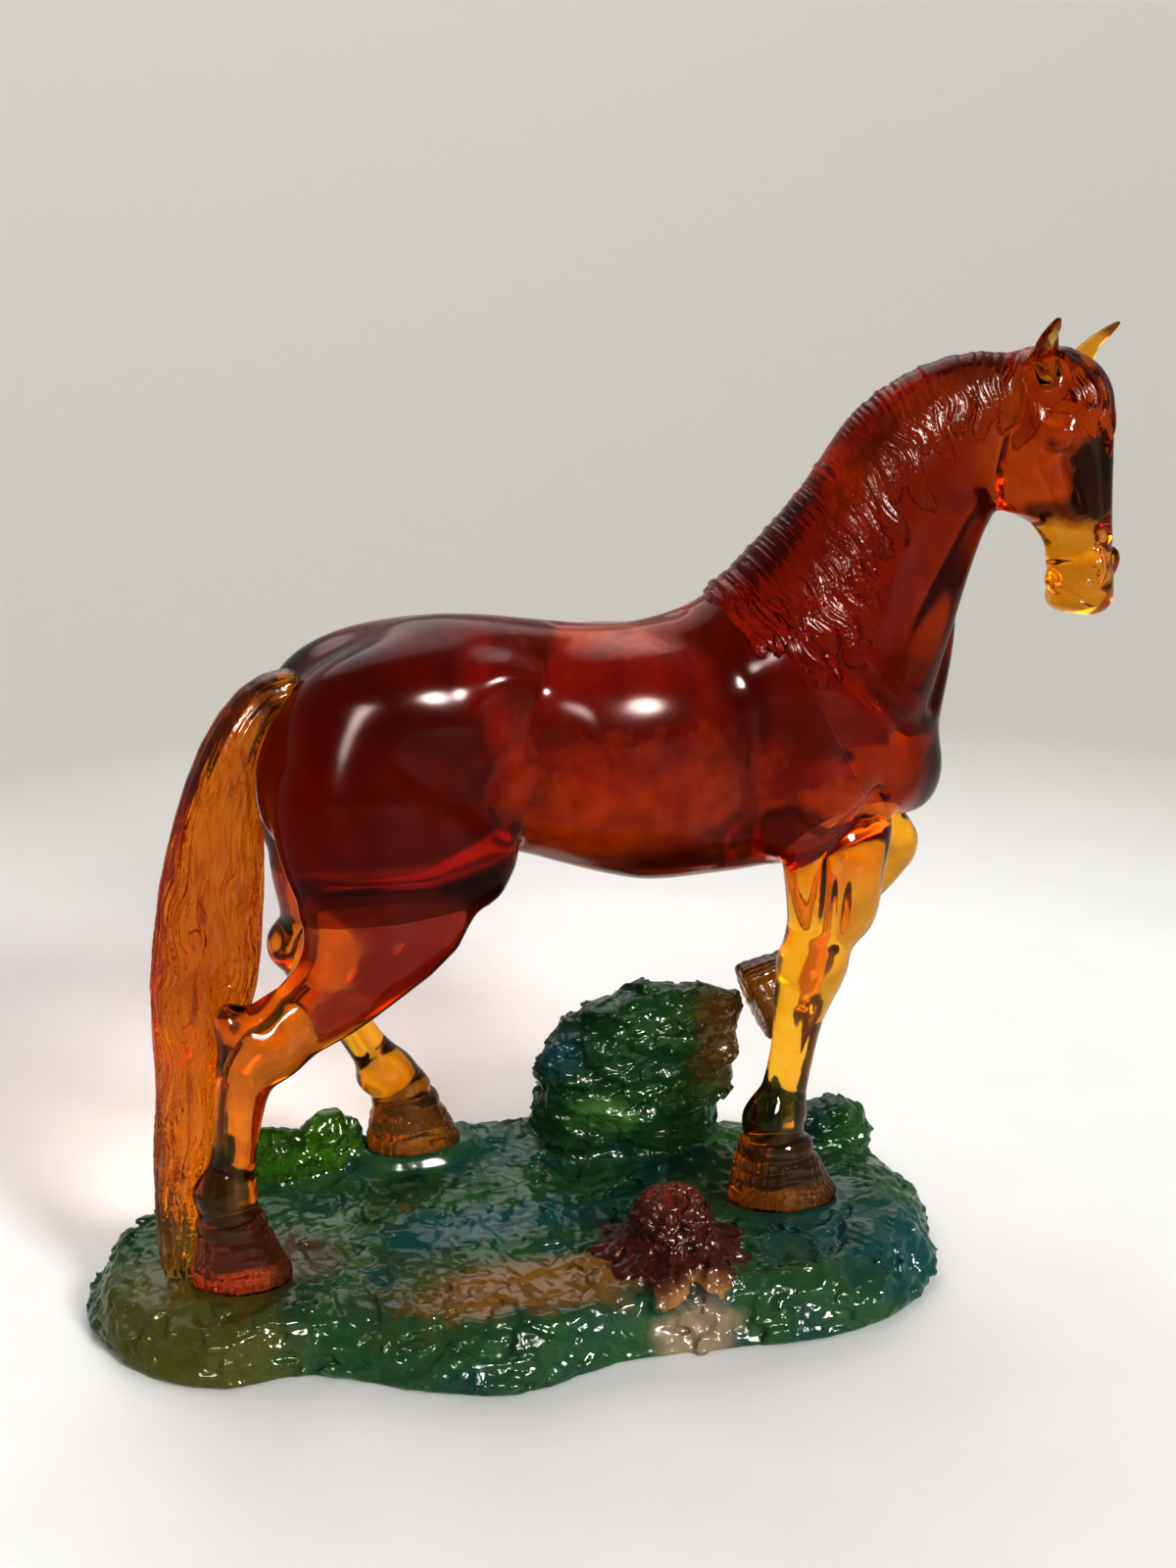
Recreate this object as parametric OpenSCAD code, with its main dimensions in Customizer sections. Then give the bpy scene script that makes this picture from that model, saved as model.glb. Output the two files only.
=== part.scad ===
// Cast crystal horse on a rocky crystal base, standing on three hooves with its left foreleg raised.
// Millimetres, +Z up. The origin is on the ground under the middle of the base and +X points to the head.

/* [Base] */
// Length of the base from end to end
base_length = 302; // [290:1:320]
// Depth of the base from front to back
base_depth = 158; // [150:1:170]
// Height of the flat part that the hooves stand on
base_height = 22; // [20:1:26]
// Height of the boulder above the flat part
boulder_height = 62; // [50:1:68]
// Diameter of the round burr in front of the boulder
burr_diameter = 29; // [26:1:32]

/* [Horse] */
// Width of the barrel at its widest
barrel_width = 70; // [64:1:76]
// Width of the neck against the design width
neck_fullness = 1; // [0.9:0.02:1.1]
// Thickness of the forelegs against the design thickness
foreleg_fullness = 1; // [0.9:0.02:1.1]
// How far the head is turned to its right, in degrees
head_turn = 52; // [44:1:58]
// Number of broad locks along the mane
mane_locks = 4; // [2:1:5]

/* [Smoothness] */
// Sides of each cross-section
ring_sides = 20; // [16:4:24]
// Cross-sections made between two stations
span_steps = 2; // [2:1:3]

/* [Hidden] */

design_length = 302;
design_depth = 158;
design_barrel = 70;
barrel_factor = barrel_width / design_barrel;

ruby = "#5a1408";
amber = "#b8540a";
gold = "#d08a1a";
pale_gold = "#e0b860";
smoke = "#3a2418";
hoof_olive = "#5a4a20";
deep_green = "#1f4a3c";
leaf_green = "#4f9a2a";
root_brown = "#7a3a24";

// A station is [x, y, z, pitch, yaw, in-plane half-size, sideways half-size].
// Pitch is the heading of the sweep in the XZ plane: 0 forward, 90 up, -90 down, -180 backward.
// Heights of the horse are measured from the flat part of the base.

barrel_stations = [
    [-85, 0, 166, 0, 0, 8, 10],
    [-81, 0, 166, 0, 0, 18, 20],
    [-71, 0, 168, 0, 0, 30, 28],
    [-55, 0, 170, 0, 0, 38, 33],
    [-32, 0, 174, 0, 0, 43, 35],
    [-6, 0, 176, 0, 0, 40, 34],
    [18, 0, 170, 0, 0, 42, 34],
    [45, 0, 164, 0, 0, 45, 35],
    [68, 0, 166, 0, 0, 48, 34],
    [87, 0, 169, 14, 0, 51, 33],
    [105, 0, 174, 27.5, 0, 54, 32]
];

neck_stations = [
    [105, 0, 174, 27.5, 0, 54, 32],
    [124, 0, 190, 30, 0, 55.5, 30],
    [132, -1, 209, 33, -2, 47.5, 26],
    [138, -2, 228, 34, -4, 41.5, 23],
    [143, -3, 245, 33, -6, 35.5, 20],
    [152, -3, 258, 26, -10, 30.5, 17.5],
    [162, -3, 266, 17, -18, 27, 15.5],
    [174, -4, 270, 6, -32, 24, 13.5],
    [182, -7, 269, -8, -44, 21, 12]
];

// Head sections in the head's own frame: [forward, height, pitch, in-plane half-size, sideways half-size]
poll_at = [191, -11];
skull_sections = [
    [-1, 295, -90, 6, 5],
    [-1, 292, -90, 13, 10],
    [-1, 285, -90, 18, 14],
    [-1, 275, -90, 21, 16],
    [0, 265, -90, 22, 16],
    [0, 254, -90, 22, 14],
    [2, 245, -93, 20, 12],
    [7, 238, -97, 15, 10.5]
];
nose_sections = [
    [7, 238, -97, 15, 10.5],
    [11, 231, -98, 12.5, 9],
    [14, 223, -97, 12, 10],
    [15, 216, -94, 11.5, 10],
    [14, 210, -90, 9, 8],
    [13, 207, -90, 4, 4]
];

ear_sections = [
    [4, 283, 90, 4, 4],
    [2.5, 290, 90, 4.2, 5.2],
    [1, 297, 92, 3.8, 5.7],
    [2.4, 303, 88, 2.9, 4.4],
    [5, 309, 80, 0.9, 0.9]
];
ear_spread = 10;
// How far each ear's tip leans outward, reaches forward and sinks
ear_pose_right = [8, 4, 0];
ear_pose_left = [19, 6, 6];
ear_bend_height = 286;
ear_tip_height = 309;

// The dock rises a little, arches back and falls in a long switch to the ground
tail_stations = [
    [-60, 0, 194, -180, 0, 7, 9],
    [-71, 0, 196, -170, 0, 8.5, 10],
    [-82, -1, 191, -140, 0, 10, 10.5],
    [-91, -3, 176, -112, 0, 12.5, 11],
    [-97, -4, 154, -100, 0, 15, 11],
    [-101, -5, 130, -95, 0, 17, 11],
    [-105, -6, 100, -92, 0, 17.5, 11],
    [-110, -8, 66, -90, 0, 13, 10],
    [-116, -11, 36, -90, 0, 9, 8],
    [-119, -14, 12, -88, 0, 7, 7],
    [-119, -15, -3, -88, 0, 5, 5]
];

thigh_stations = [
    [-52, 14, 188, -90, 0, 22, 14],
    [-48, 19, 170, -90, 0, 34, 19],
    [-46, 23, 152, -90, 0, 36, 16],
    [-46, 25, 139, -90, 0, 33.5, 14],
    [-46, 26, 127, -90, 0, 29.5, 12.5]
];

gaskin_right = [
    [-46, -26, 127, -90, 0, 29.5, 12.5],
    [-48, -27, 117, -102, 0, 25, 12],
    [-59, -27, 106, -122, 0, 18.5, 11],
    [-72, -27, 95, -128, 0, 15, 10],
    [-89, -27, 86, -122, 0, 14.5, 9.5],
    [-96, -27, 75, -108, 0, 10, 8.5],
    [-99, -27, 61, -98, 0, 8.2, 7.6],
    [-101, -26, 46, -95, 0, 7.6, 7.2],
    [-104, -25, 33, -95, 0, 9, 8.4],
    [-103, -25, 24, -84, 0, 10.5, 9.5]
];

gaskin_left = [
    [-46, 26, 127, -90, 0, 29.5, 12.5],
    [-50, 29, 116, -98, 0, 23, 12],
    [-56, 32, 102, -106, 0, 17, 11],
    [-60, 35, 88, -94, 0, 13, 9.8],
    [-56, 37, 75, -73, 0, 9.6, 8.6],
    [-49, 39, 62, -62, 0, 7.4, 7.4],
    [-41, 40, 48, -60, 0, 7.4, 7.4],
    [-33, 41, 36, -62, 0, 9.6, 8.6],
    [-28, 41, 28, -76, 0, 11, 9.8]
];

forearm_right = [
    [111, -15, 152, -90, 0, 17, 9],
    [113, -21, 136, -90, 0, 20.5, 12],
    [111, -24, 121, -92, 0, 18, 12.5],
    [108, -26, 104, -96, 0, 14, 11],
    [103.5, -26, 91, -96, 0, 12, 9.8],
    [102, -26, 81, -94, 0, 11.5, 9.6],
    [99, -26, 70, -96, 0, 9, 8.2],
    [97, -26, 57, -96, 0, 8, 7.4],
    [94, -26, 42, -97, 0, 8.2, 7.4],
    [91, -26, 32, -95, 0, 10.2, 8.6],
    [91, -26, 24, -86, 0, 11.5, 10]
];

forearm_left = [
    [122, 15, 150, -50, 0, 19, 11],
    [133, 19, 138, -46, 0, 16, 11.5],
    [145, 22, 124, -48, 0, 11.5, 10],
    [153.5, 22, 113, -80, 0, 9.6, 9],
    [149, 22, 103, -122, 0, 9, 8.8],
    [139, 22, 92, -130, 0, 7.4, 7.4],
    [130, 22, 82, -131, 0, 7.2, 7.2],
    [125, 22, 76, -134, 0, 8.8, 8.2],
    [121, 22, 69, -145, 0, 8, 7.8],
    [118, 22, 64, -158, 0, 10, 9.4]
];

// Each hoof hangs from its leg's last station: [pitch, yaw, length, width, height]
front_hoof_right = [-90, -12, 40, 27, 24];
front_hoof_left = [-158, 0, 33, 25, 20];
hind_hoof_right = [-90, -10, 35, 25, 24];
hind_hoof_left = [-90, 0, 36, 26, 21];

// Hoof proportions: [height share, forward shift, length share, width share]
hoof_profile = [
    [1, 0, 0.62, 0.74],
    [0.72, 0.02, 0.74, 0.86],
    [0.3, 0.06, 0.9, 0.97],
    [0.1, 0.08, 1, 1],
    [0, 0.08, 0.98, 0.98]
];

base_points = [
    [-150, 2], [-146, -20], [-134, -44], [-112, -58], [-84, -58], [-52, -78], [-22, -90],
    [16, -82], [50, -84], [88, -88], [118, -80], [140, -60], [146, -42], [152, -20], [150, 8],
    [146, 30], [120, 42], [90, 50], [60, 60], [28, 66], [-6, 68], [-40, 60], [-72, 55],
    [-98, 50], [-120, 38], [-142, 26]
];
// Base levels: [height share, outline scale]
base_levels = [[-0.1, 0.985], [0.1, 1], [0.35, 0.99], [0.7, 0.96], [0.9, 0.92], [1, 0.87]];
outline_steps = 3;
mound_at = [-24, 43];
mound_rise = 7;
mound_stations = [[0, 0, -6, 90, 0, 30, 17], [0, 0, 3, 90, 0, 27, 14], [0, 0, mound_rise, 90, 0, 24, 11]];
// How strongly the crags show on rock and on softer shapes
rock_roughness = 1.2;
soft_roughness = 1;

boulder_stations = [
    [58, 36, -4, 90, 0, 33, 20],
    [58, 36, 10, 90, 0, 37, 21],
    [58, 34, 24, 90, 0, 39, 20],
    [60, 32, 38, 90, 0, 39, 18],
    [65, 30, 50, 90, 0, 34, 15],
    [70, 29, 58, 90, 0, 24, 11],
    [72, 28, 62, 90, 0, 12, 6]
];

back_rock_stations = [
    [127, 14, -4, 90, 0, 21, 14],
    [128, 14, 6, 90, 0, 20, 13],
    [127, 13, 11, 90, 0, 16, 10],
    [126, 12, 14, 90, 0, 9, 6]
];

// Each leaf lobe: [x, y, half-width, height]
leaf_lobes = [[-76, 44, 12, 20], [-55, 47, 13, 21], [-66, 45, 9, 12]];
// Levels of a leaf lobe: [height share, half-width share, half-depth]
leaf_levels = [[0.4, 1, 8], [0.8, 0.75, 6], [1, 0.3, 3]];
leaf_foot = [-4, 0.9, 8];

burr_at = [43, -52];
burr_sides = 32;
burr_seat = 0.36; // height of its middle as a share of its diameter
root_count = 9;
root_lobe = 0.16;
root_sides = 54;
// Levels of the root skirt: [height, radius as a share of the burr's diameter]
root_levels = [[-4, 0.92], [1, 0.88], [3.5, 0.74], [6, 0.6], [8, 0.5]];

// The mane runs between these two stations of the neck and round these angles from its crest
mane_start = 1;
mane_end = 6;
mane_far_side = 20;
mane_near_side = 66;
mane_lift = 4;
// Lift at the blanket's long edges as a share of the lift along its middle
mane_rim = 0.35;
// Depth of the locks as a share of the lift, and the turn of their waves from strip to strip
mane_wave = 0.3;
mane_slant = 60;

// Each forelock strand falls over the forehead in steps: [forward, height, radius]
forelock_steps = [
    [8, 296, 3.4], [12, 291.5, 2.9], [15.6, 287, 2.4], [18.5, 282.5, 1.9], [20.4, 278, 1.4], [21, 273.5, 0.9]
];
// How far each strand lies to the right of the middle of the forehead
forelock_asides = [-2, 2, 6];

// ---- Curves and lofts ----

function at(list, i) = list[max(0, min(len(list) - 1, i))];

function spline(a, b, c, d, t) =
    0.5 * (2 * b + (c - a) * t + (2 * a - 5 * b + 4 * c - d) * t * t + (3 * b - a - 3 * c + d) * t * t * t);

function smoothed(s, steps) = [
    for (i = [0 : len(s) - 2])
        for (k = [0 : steps - 1])
            spline(at(s, i - 1), s[i], s[i + 1], at(s, i + 2), k / steps),
    s[len(s) - 1]
];

function smoothed_loop(p, steps) = [
    for (i = [0 : len(p) - 1])
        for (k = [0 : steps - 1])
            spline(p[(i + len(p) - 1) % len(p)], p[i], p[(i + 1) % len(p)], p[(i + 2) % len(p)], k / steps)
];

// A station's own up and sideways directions
function up_of(s) = [-sin(s[3]) * cos(s[4]), -sin(s[3]) * sin(s[4]), cos(s[3])];
function side_of(s) = [sin(s[4]), -cos(s[4]), 0];
function place_of(s) = [s[0], s[1], s[2]];

// Point on a station's section at an angle from its up direction
function skin_point(s, angle, grow = 1) =
    place_of(s) + (up_of(s) * s[5] * cos(angle) + side_of(s) * s[6] * sin(angle)) * grow;

function out_of(s, angle) = unit(up_of(s) * cos(angle) * s[6] + side_of(s) * sin(angle) * s[5]);

// Craggy surfaces: a fixed sum of waves stands in for chance
function crag(a, level) =
    0.05 * sin(3 * a + 70 * level) + 0.035 * sin(5 * a - 110 * level) + 0.02 * sin(9 * a + 40 * level);

function section(s, sides, level = 0, rough = 0) = [
    for (i = [0 : sides - 1])
        let (a = 360 * i / sides)
        skin_point(s, a, 1 + rough * crag(a, level))
];

// Closed solid through a list of rings that all have the same number of points
module skin(rings) {
    n = len(rings[0]);
    last = len(rings) - 1;
    start = len(rings) * n;
    points = concat([for (r = rings) each r], [centre_of(rings[0]), centre_of(rings[last])]);
    faces = concat(
        [for (k = [0 : last - 1], i = [0 : n - 1]) each wall(k * n, n, i)],
        [for (i = [0 : n - 1]) [start, i, (i + 1) % n]],
        [for (i = [0 : n - 1]) [start + 1, last * n + (i + 1) % n, last * n + i]]
    );
    polyhedron(points, faces, convexity = 6);
}

function wall(from, n, i) =
    let (a = from + i, b = from + (i + 1) % n, c = b + n, d = a + n)
    [[a, c, b], [a, d, c]];

function centre_of(ring) = sum_of(ring) / len(ring);
function sum_of(list, i = 0) = i >= len(list) ? [0, 0, 0] : list[i] + sum_of(list, i + 1);

module loft(stations, rough = 0, steps = span_steps) {
    dense = smoothed(stations, steps);
    skin([for (k = [0 : len(dense) - 1]) section(dense[k], ring_sides, k, rough)]);
}

// Tapered tube through points, with one radius at each
module strand(points, radii, sides = 8) {
    last = len(points) - 1;
    skin([
        for (k = [0 : last])
            let (along = unit(at(points, k + 1) - at(points, k - 1)),
                 side = unit(cross(along, [0.2, -1, 0.35])),
                 up = cross(side, along))
            [for (i = [0 : sides - 1])
                let (a = 360 * i / sides)
                points[k] + (up * cos(a) + side * sin(a)) * radii[k]]
    ]);
}

function unit(v) = v / norm(v);

// Keeps its children as one closed mesh at their own size
module carved() resize([0, 0, 0]) children();

function widened(s, factor) = [for (r = s) [r[0], r[1], r[2], r[3], r[4], r[5], r[6] * factor]];
function thickened(s, factor) = [for (r = s) [r[0], r[1], r[2], r[3], r[4], r[5] * factor, r[6] * factor]];
function raised(s, height) = [
    for (r = s) [r[0], r[1], r[2] * height / s[len(s) - 1][2], r[3], r[4], r[5], r[6]]
];
function mirrored(s) = [for (r = s) [r[0], -r[1], r[2], r[3], r[4], r[5], r[6]]];
function in_head(s, aside = 0) = [
    for (r = s)
        [poll_at[0] + r[0] * cos(head_turn) - aside * sin(head_turn),
         poll_at[1] - r[0] * sin(head_turn) - aside * cos(head_turn),
         r[1], r[2], -head_turn, r[3], r[4]]
];

barrel = widened(barrel_stations, barrel_factor);
neck_line = concat([barrel[len(barrel) - 1]], [
    for (i = [1 : len(neck_stations) - 1])
        let (r = neck_stations[i])
        [r[0], r[1], r[2], r[3], r[4], r[5], r[6] * neck_fullness]
]);

// ---- Horse solids, before they are fitted to each other ----

module on_base() translate([0, 0, base_height]) children();

module body_solid() {
    loft(barrel);
    loft(thigh_stations);
    loft(mirrored(thigh_stations));
}

module neck_solid() loft(neck_line);

module head_solid() loft(in_head(skull_sections));

module ear_solid(side, pose) {
    leaning = [
        for (r = ear_sections)
            let (rise = max(0, r[1] - ear_bend_height) / (ear_tip_height - ear_bend_height))
            let (bent = [r[0] + pose[1] * rise, r[1] - pose[2] * rise, r[2], r[3], r[4]])
            in_head([bent], side * (ear_spread + pose[0] * rise))[0]
    ];
    loft(leaning);
}

// Blanket of hair on the neck's own skin: it hangs to the right of the crest and swells into locks
module mane_blanket() {
    dense = smoothed(neck_line, span_steps);
    rows = [for (k = [mane_start * span_steps : mane_end * span_steps]) dense[k]];
    turn = 360 / ring_sides;
    strips = [for (a = [-turn * ceil(mane_far_side / turn) : turn : turn * ceil(mane_near_side / turn)]) a];
    last = len(strips) - 1;
    along = 360 * mane_locks / (len(rows) - 1);
    across = [
        for (j = [0 : last])
            mane_lift * (mane_rim + (1 - mane_rim) * sin(180 * (j + 0.5) / (last + 1)))
    ];
    skin([
        for (k = [0 : len(rows) - 1])
            concat(
                [for (j = [0 : last]) skin_point(rows[k], strips[j])],
                [for (j = [last : -1 : 0])
                    let (lift = across[j] * (1 + mane_wave * sin(k * along + j * mane_slant)))
                    skin_point(rows[k], strips[j]) + out_of(rows[k], strips[j]) * lift]
            )
    ]);
}

module forelock_solid() {
    for (aside = forelock_asides) {
        fall = in_head([for (v = forelock_steps) [v[0], v[1], 0, 0, 0]], aside);
        strand([for (p = fall) place_of(p)], [for (v = forelock_steps) v[2]]);
    }
}

module hoof(leg, shape) {
    pitch = shape[0];
    yaw = shape[1];
    coronet = place_of(leg[len(leg) - 1]);
    low = [cos(pitch) * cos(yaw), cos(pitch) * sin(yaw), sin(pitch)];
    ahead = [-sin(pitch) * cos(yaw), -sin(pitch) * sin(yaw), cos(pitch)];
    levels = [
        for (r = hoof_profile)
            let (p = coronet + low * shape[4] * (1 - r[0]) + ahead * shape[2] * r[1])
            [p[0], p[1], p[2], pitch, yaw, shape[2] * r[2] / 2, shape[3] * r[3] / 2]
    ];
    skin([for (s = levels) section(s, ring_sides)]);
}

// ---- Nodes ----

module outline_slab(points, levels, height) {
    loop = smoothed_loop(points, outline_steps);
    across = base_length / design_length;
    deep = base_depth / design_depth;
    skin([
        for (v = levels)
            [for (p = loop) [p[0] * v[1] * across, p[1] * v[1] * deep, v[0] * height]]
    ]);
}

module base_ground() color(deep_green) difference() {
    carved() union() {
        outline_slab(base_points, base_levels, base_height);
        translate([mound_at[0], mound_at[1], base_height])
            loft(mound_stations, soft_roughness);
    }
    translate([-base_length, -base_depth, -base_height]) cube([2 * base_length, 2 * base_depth, base_height]);
}

module boulder() color(deep_green) carved() difference() {
    on_base() loft(raised(boulder_stations, boulder_height), rock_roughness);
    base_ground();
}

module back_rock() color(deep_green) carved() difference() {
    on_base() loft(back_rock_stations, rock_roughness);
    base_ground();
}

module leaf_tuft() color(leaf_green) carved() difference() {
    on_base() for (l = leaf_lobes)
        loft(concat(
            [[l[0], l[1], leaf_foot[0], 90, 0, l[2] * leaf_foot[1], leaf_foot[2]]],
            [for (v = leaf_levels) [l[0], l[1], l[3] * v[0], 90, 0, l[2] * v[1], v[2]]]
        ), soft_roughness);
    base_ground();
    hindleg_left();
    hoof_hind_left();
}

module burr_ball() color(root_brown) carved() difference() {
    on_base() translate([burr_at[0], burr_at[1], burr_diameter * burr_seat])
        sphere(d = burr_diameter, $fn = burr_sides);
    base_ground();
}

// A skirt of roots: a low mound whose foot runs out in one lobe for each root
module burr_roots() color(root_brown) carved() difference() {
    on_base() translate([burr_at[0], burr_at[1], 0]) skin([
        for (v = root_levels)
            [for (i = [0 : root_sides - 1])
                let (a = 360 * i / root_sides, lobe = 1 + root_lobe * v[1] * sin(root_count * a))
                [burr_diameter * v[1] * lobe * cos(a), burr_diameter * v[1] * lobe * sin(a), v[0]]]
    ]);
    base_ground();
    burr_ball();
}

module torso() color(ruby) carved() on_base() body_solid();

module neck() color(ruby) carved() difference() {
    on_base() neck_solid();
    on_base() head_solid();
}

module head() color(amber) on_base() head_solid();

module muzzle() color(gold) on_base() loft(in_head(nose_sections));

module ear(side, pose) carved() difference() {
    on_base() ear_solid(side, pose);
    on_base() head_solid();
    on_base() neck_solid();
}

module ear_right() color(pale_gold) ear(1, ear_pose_right);

module ear_left() color(pale_gold) ear(-1, ear_pose_left);

module mane() color(smoke) on_base() mane_blanket();

module forelock() color(smoke) carved() difference() {
    on_base() forelock_solid();
    on_base() head_solid();
    on_base() neck_solid();
    ear_right();
    ear_left();
    mane();
}

module tail() color(amber) carved() difference() {
    on_base() loft(tail_stations);
    torso();
    hindleg_right();
    base_ground();
}

module foreleg_right() color(gold) carved() difference() {
    on_base() loft(thickened(forearm_right, foreleg_fullness));
    on_base() body_solid();
    on_base() neck_solid();
}

module foreleg_left() color(gold) carved() difference() {
    on_base() loft(thickened(forearm_left, foreleg_fullness));
    on_base() body_solid();
    on_base() neck_solid();
}

module hindleg_right() color(amber) on_base() loft(gaskin_right);

module hindleg_left() color(amber) on_base() loft(gaskin_left);

module hoof_front_right() color(hoof_olive) on_base() hoof(forearm_right, front_hoof_right);

module hoof_front_left() color(hoof_olive) on_base() hoof(forearm_left, front_hoof_left);

module hoof_hind_right() color(hoof_olive) on_base() hoof(gaskin_right, hind_hoof_right);

module hoof_hind_left() color(hoof_olive) on_base() hoof(gaskin_left, hind_hoof_left);

base_ground();
boulder();
back_rock();
leaf_tuft();
burr_ball();
burr_roots();
torso();
neck();
head();
muzzle();
ear_right();
ear_left();
mane();
forelock();
tail();
foreleg_right();
foreleg_left();
hindleg_right();
hindleg_left();
hoof_front_right();
hoof_front_left();
hoof_hind_right();
hoof_hind_left();
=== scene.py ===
"""Crystal horse on a rocky crystal base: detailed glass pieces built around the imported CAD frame."""
import math

import bpy
import numpy as np
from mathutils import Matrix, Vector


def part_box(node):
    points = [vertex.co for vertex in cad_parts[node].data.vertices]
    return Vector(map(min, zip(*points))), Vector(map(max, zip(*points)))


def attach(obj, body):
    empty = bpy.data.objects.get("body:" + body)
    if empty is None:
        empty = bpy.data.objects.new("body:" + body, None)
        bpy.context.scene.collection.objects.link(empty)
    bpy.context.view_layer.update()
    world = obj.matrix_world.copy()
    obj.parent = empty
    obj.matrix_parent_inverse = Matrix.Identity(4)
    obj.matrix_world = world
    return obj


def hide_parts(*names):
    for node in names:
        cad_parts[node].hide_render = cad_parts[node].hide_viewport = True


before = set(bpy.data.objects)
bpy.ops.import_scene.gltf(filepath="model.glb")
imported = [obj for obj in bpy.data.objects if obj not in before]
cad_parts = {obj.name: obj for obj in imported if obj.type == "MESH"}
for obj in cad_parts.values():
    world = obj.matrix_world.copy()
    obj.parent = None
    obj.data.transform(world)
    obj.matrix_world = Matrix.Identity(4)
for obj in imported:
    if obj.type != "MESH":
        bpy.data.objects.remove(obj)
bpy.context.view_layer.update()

import openvdb as vdb

DETAIL = 1.0

# ---------------------------------------------------------------------------------------------
# Fields: signed distances in millimetres, sampled in a box, negative inside the glass
# ---------------------------------------------------------------------------------------------
MM = 0.001
REACH = 9.0          # distances are true this far from a surface on coarse grids
LEAST_REACH = 5.6    # and at least this far on fine ones
REACH_STEPS = 14     # and this many samples in between
MOST_RAISED = 8.0    # the height over the CAD solids up to which a cut is carried
CUT_REACH = 7.0      # and how far from the cut itself
BOND_GAP = 0.03      # left between two bonded faces
SETTLING_ROUNDS = 3


def node_box(name):
    """The low and the high corner of a CAD node, in millimetres."""
    low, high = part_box(name)
    return np.array(low) / MM, np.array(high) / MM


def corner_weights(part):
    """The eight corners of a cell, each with its weight for points at those parts of the cell."""
    for corner in np.ndindex(2, 2, 2):
        weight = 1.0
        for i in range(3):
            weight = weight * (part[:, i] if corner[i] else 1 - part[:, i])
        yield corner, weight


class Grid:
    """An evenly spaced box of samples on the lattice of whole steps."""

    def __init__(self, low, high, step):
        self.step = step
        self.reach = max(LEAST_REACH, min(REACH, REACH_STEPS * step))
        self.start = np.floor(np.array(low) / step).astype(int)
        self.shape = tuple(np.ceil(np.array(high) / step).astype(int) - self.start + 1)

    @classmethod
    def around(cls, node, step, margin):
        low, high = node_box(node)
        return cls(low - margin, high + margin, step * DETAIL)

    def coords(self, window=None):
        """X, Y and Z of the samples, as three arrays that broadcast together."""
        window = window or tuple(slice(0, n) for n in self.shape)
        x, y, z = (
            ((self.start[i] + np.arange(window[i].start, window[i].stop)) * self.step).astype(np.float32)
            for i in range(3)
        )
        return x[:, None, None], y[None, :, None], z[None, None, :]

    def window(self, low, high):
        """The part of the grid between two corners, as slices, or None where it is empty."""
        a = np.floor(np.array(low) / self.step).astype(int) - self.start
        b = np.ceil(np.array(high) / self.step).astype(int) - self.start + 1
        a, b = np.maximum(a, 0), np.minimum(b, self.shape)
        if np.any(a >= b):
            return None
        return tuple(slice(int(a[i]), int(b[i])) for i in range(3))

    def points_at(self, index):
        return np.stack([(self.start[i] + index[i]) * self.step for i in range(3)], axis=1)

    def band(self, field, width):
        """Samples close to the surface: their indices and their points."""
        index = np.nonzero(np.abs(field) < width)
        return index, self.points_at(index)

    def distance_to(self, points, tris, quads=None):
        """Signed distance to a closed mesh given in millimetres."""
        shift = vdb.createLinearTransform(voxelSize=self.step)
        level = vdb.FloatGrid.createLevelSetFromPolygons(
            points, triangles=tris, quads=quads, transform=shift, halfWidth=self.reach / self.step
        )
        out = np.full(self.shape, self.reach, dtype=np.float32)
        level.copyToArray(out, ijk=tuple(int(v) for v in self.start))
        return out

    def node(self, name):
        """Signed distance to a CAD node."""
        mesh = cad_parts[name].data
        mesh.calc_loop_triangles()
        points = np.empty(len(mesh.vertices) * 3, dtype=np.float32)
        mesh.vertices.foreach_get("co", points)
        tris = np.empty(len(mesh.loop_triangles) * 3, dtype=np.int32)
        mesh.loop_triangles.foreach_get("vertices", tris)
        return self.distance_to(points.reshape(-1, 3) / MM, tris.reshape(-1, 3).astype(np.uint32))

    def surface(self, field):
        """Points and quads of the field's zero surface, in millimetres."""
        level = vdb.FloatGrid(self.reach)
        level.copyFromArray(np.ascontiguousarray(field), ijk=tuple(int(v) for v in self.start))
        level.transform = vdb.createLinearTransform(voxelSize=self.step)
        return level.convertToQuads(isovalue=0.0)

    def redistanced(self, field):
        """The same surface with true distances on both sides of it."""
        points, quads = self.surface(field)
        return self.distance_to(points, None, quads)

    def joined(self, parts):
        """One clean field for solids that touch face to face, with no wall left between them."""
        swell = 1.2 * self.step
        return self.redistanced(np.minimum.reduce(parts) - swell) + swell

    def sample(self, field, points):
        """The field's value at any points, by interpolation."""
        place = points / self.step - self.start
        place = np.clip(place, 0, np.array(self.shape) - 1.001)
        base = place.astype(np.int64)
        part = place - base
        strides = np.array([self.shape[1] * self.shape[2], self.shape[2], 1])
        flat = field.reshape(-1)
        at = base @ strides
        total = 0.0
        for corner, weight in corner_weights(part):
            total = total + weight * flat[at + int(np.dot(corner, strides))]
        return total

    def slope(self, field, points):
        """The field's gradient at any points."""
        h = 0.7 * self.step
        return np.stack(
            [(self.sample(field, points + s) - self.sample(field, points - s)) / (2 * h)
             for s in np.eye(3) * h],
            axis=1,
        )


def averaged(field, reach, axis):
    """Running mean over 2 * reach + 1 samples."""
    padded = np.pad(field, [(reach + 1, reach) if i == axis else (0, 0) for i in range(3)], mode="edge")
    total = np.cumsum(padded, axis=axis, dtype=np.float64)
    width, length = 2 * reach + 1, field.shape[axis]
    ahead = np.take(total, range(width, width + length), axis=axis)
    return ((ahead - np.take(total, range(length), axis=axis)) / width).astype(np.float32)


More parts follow.
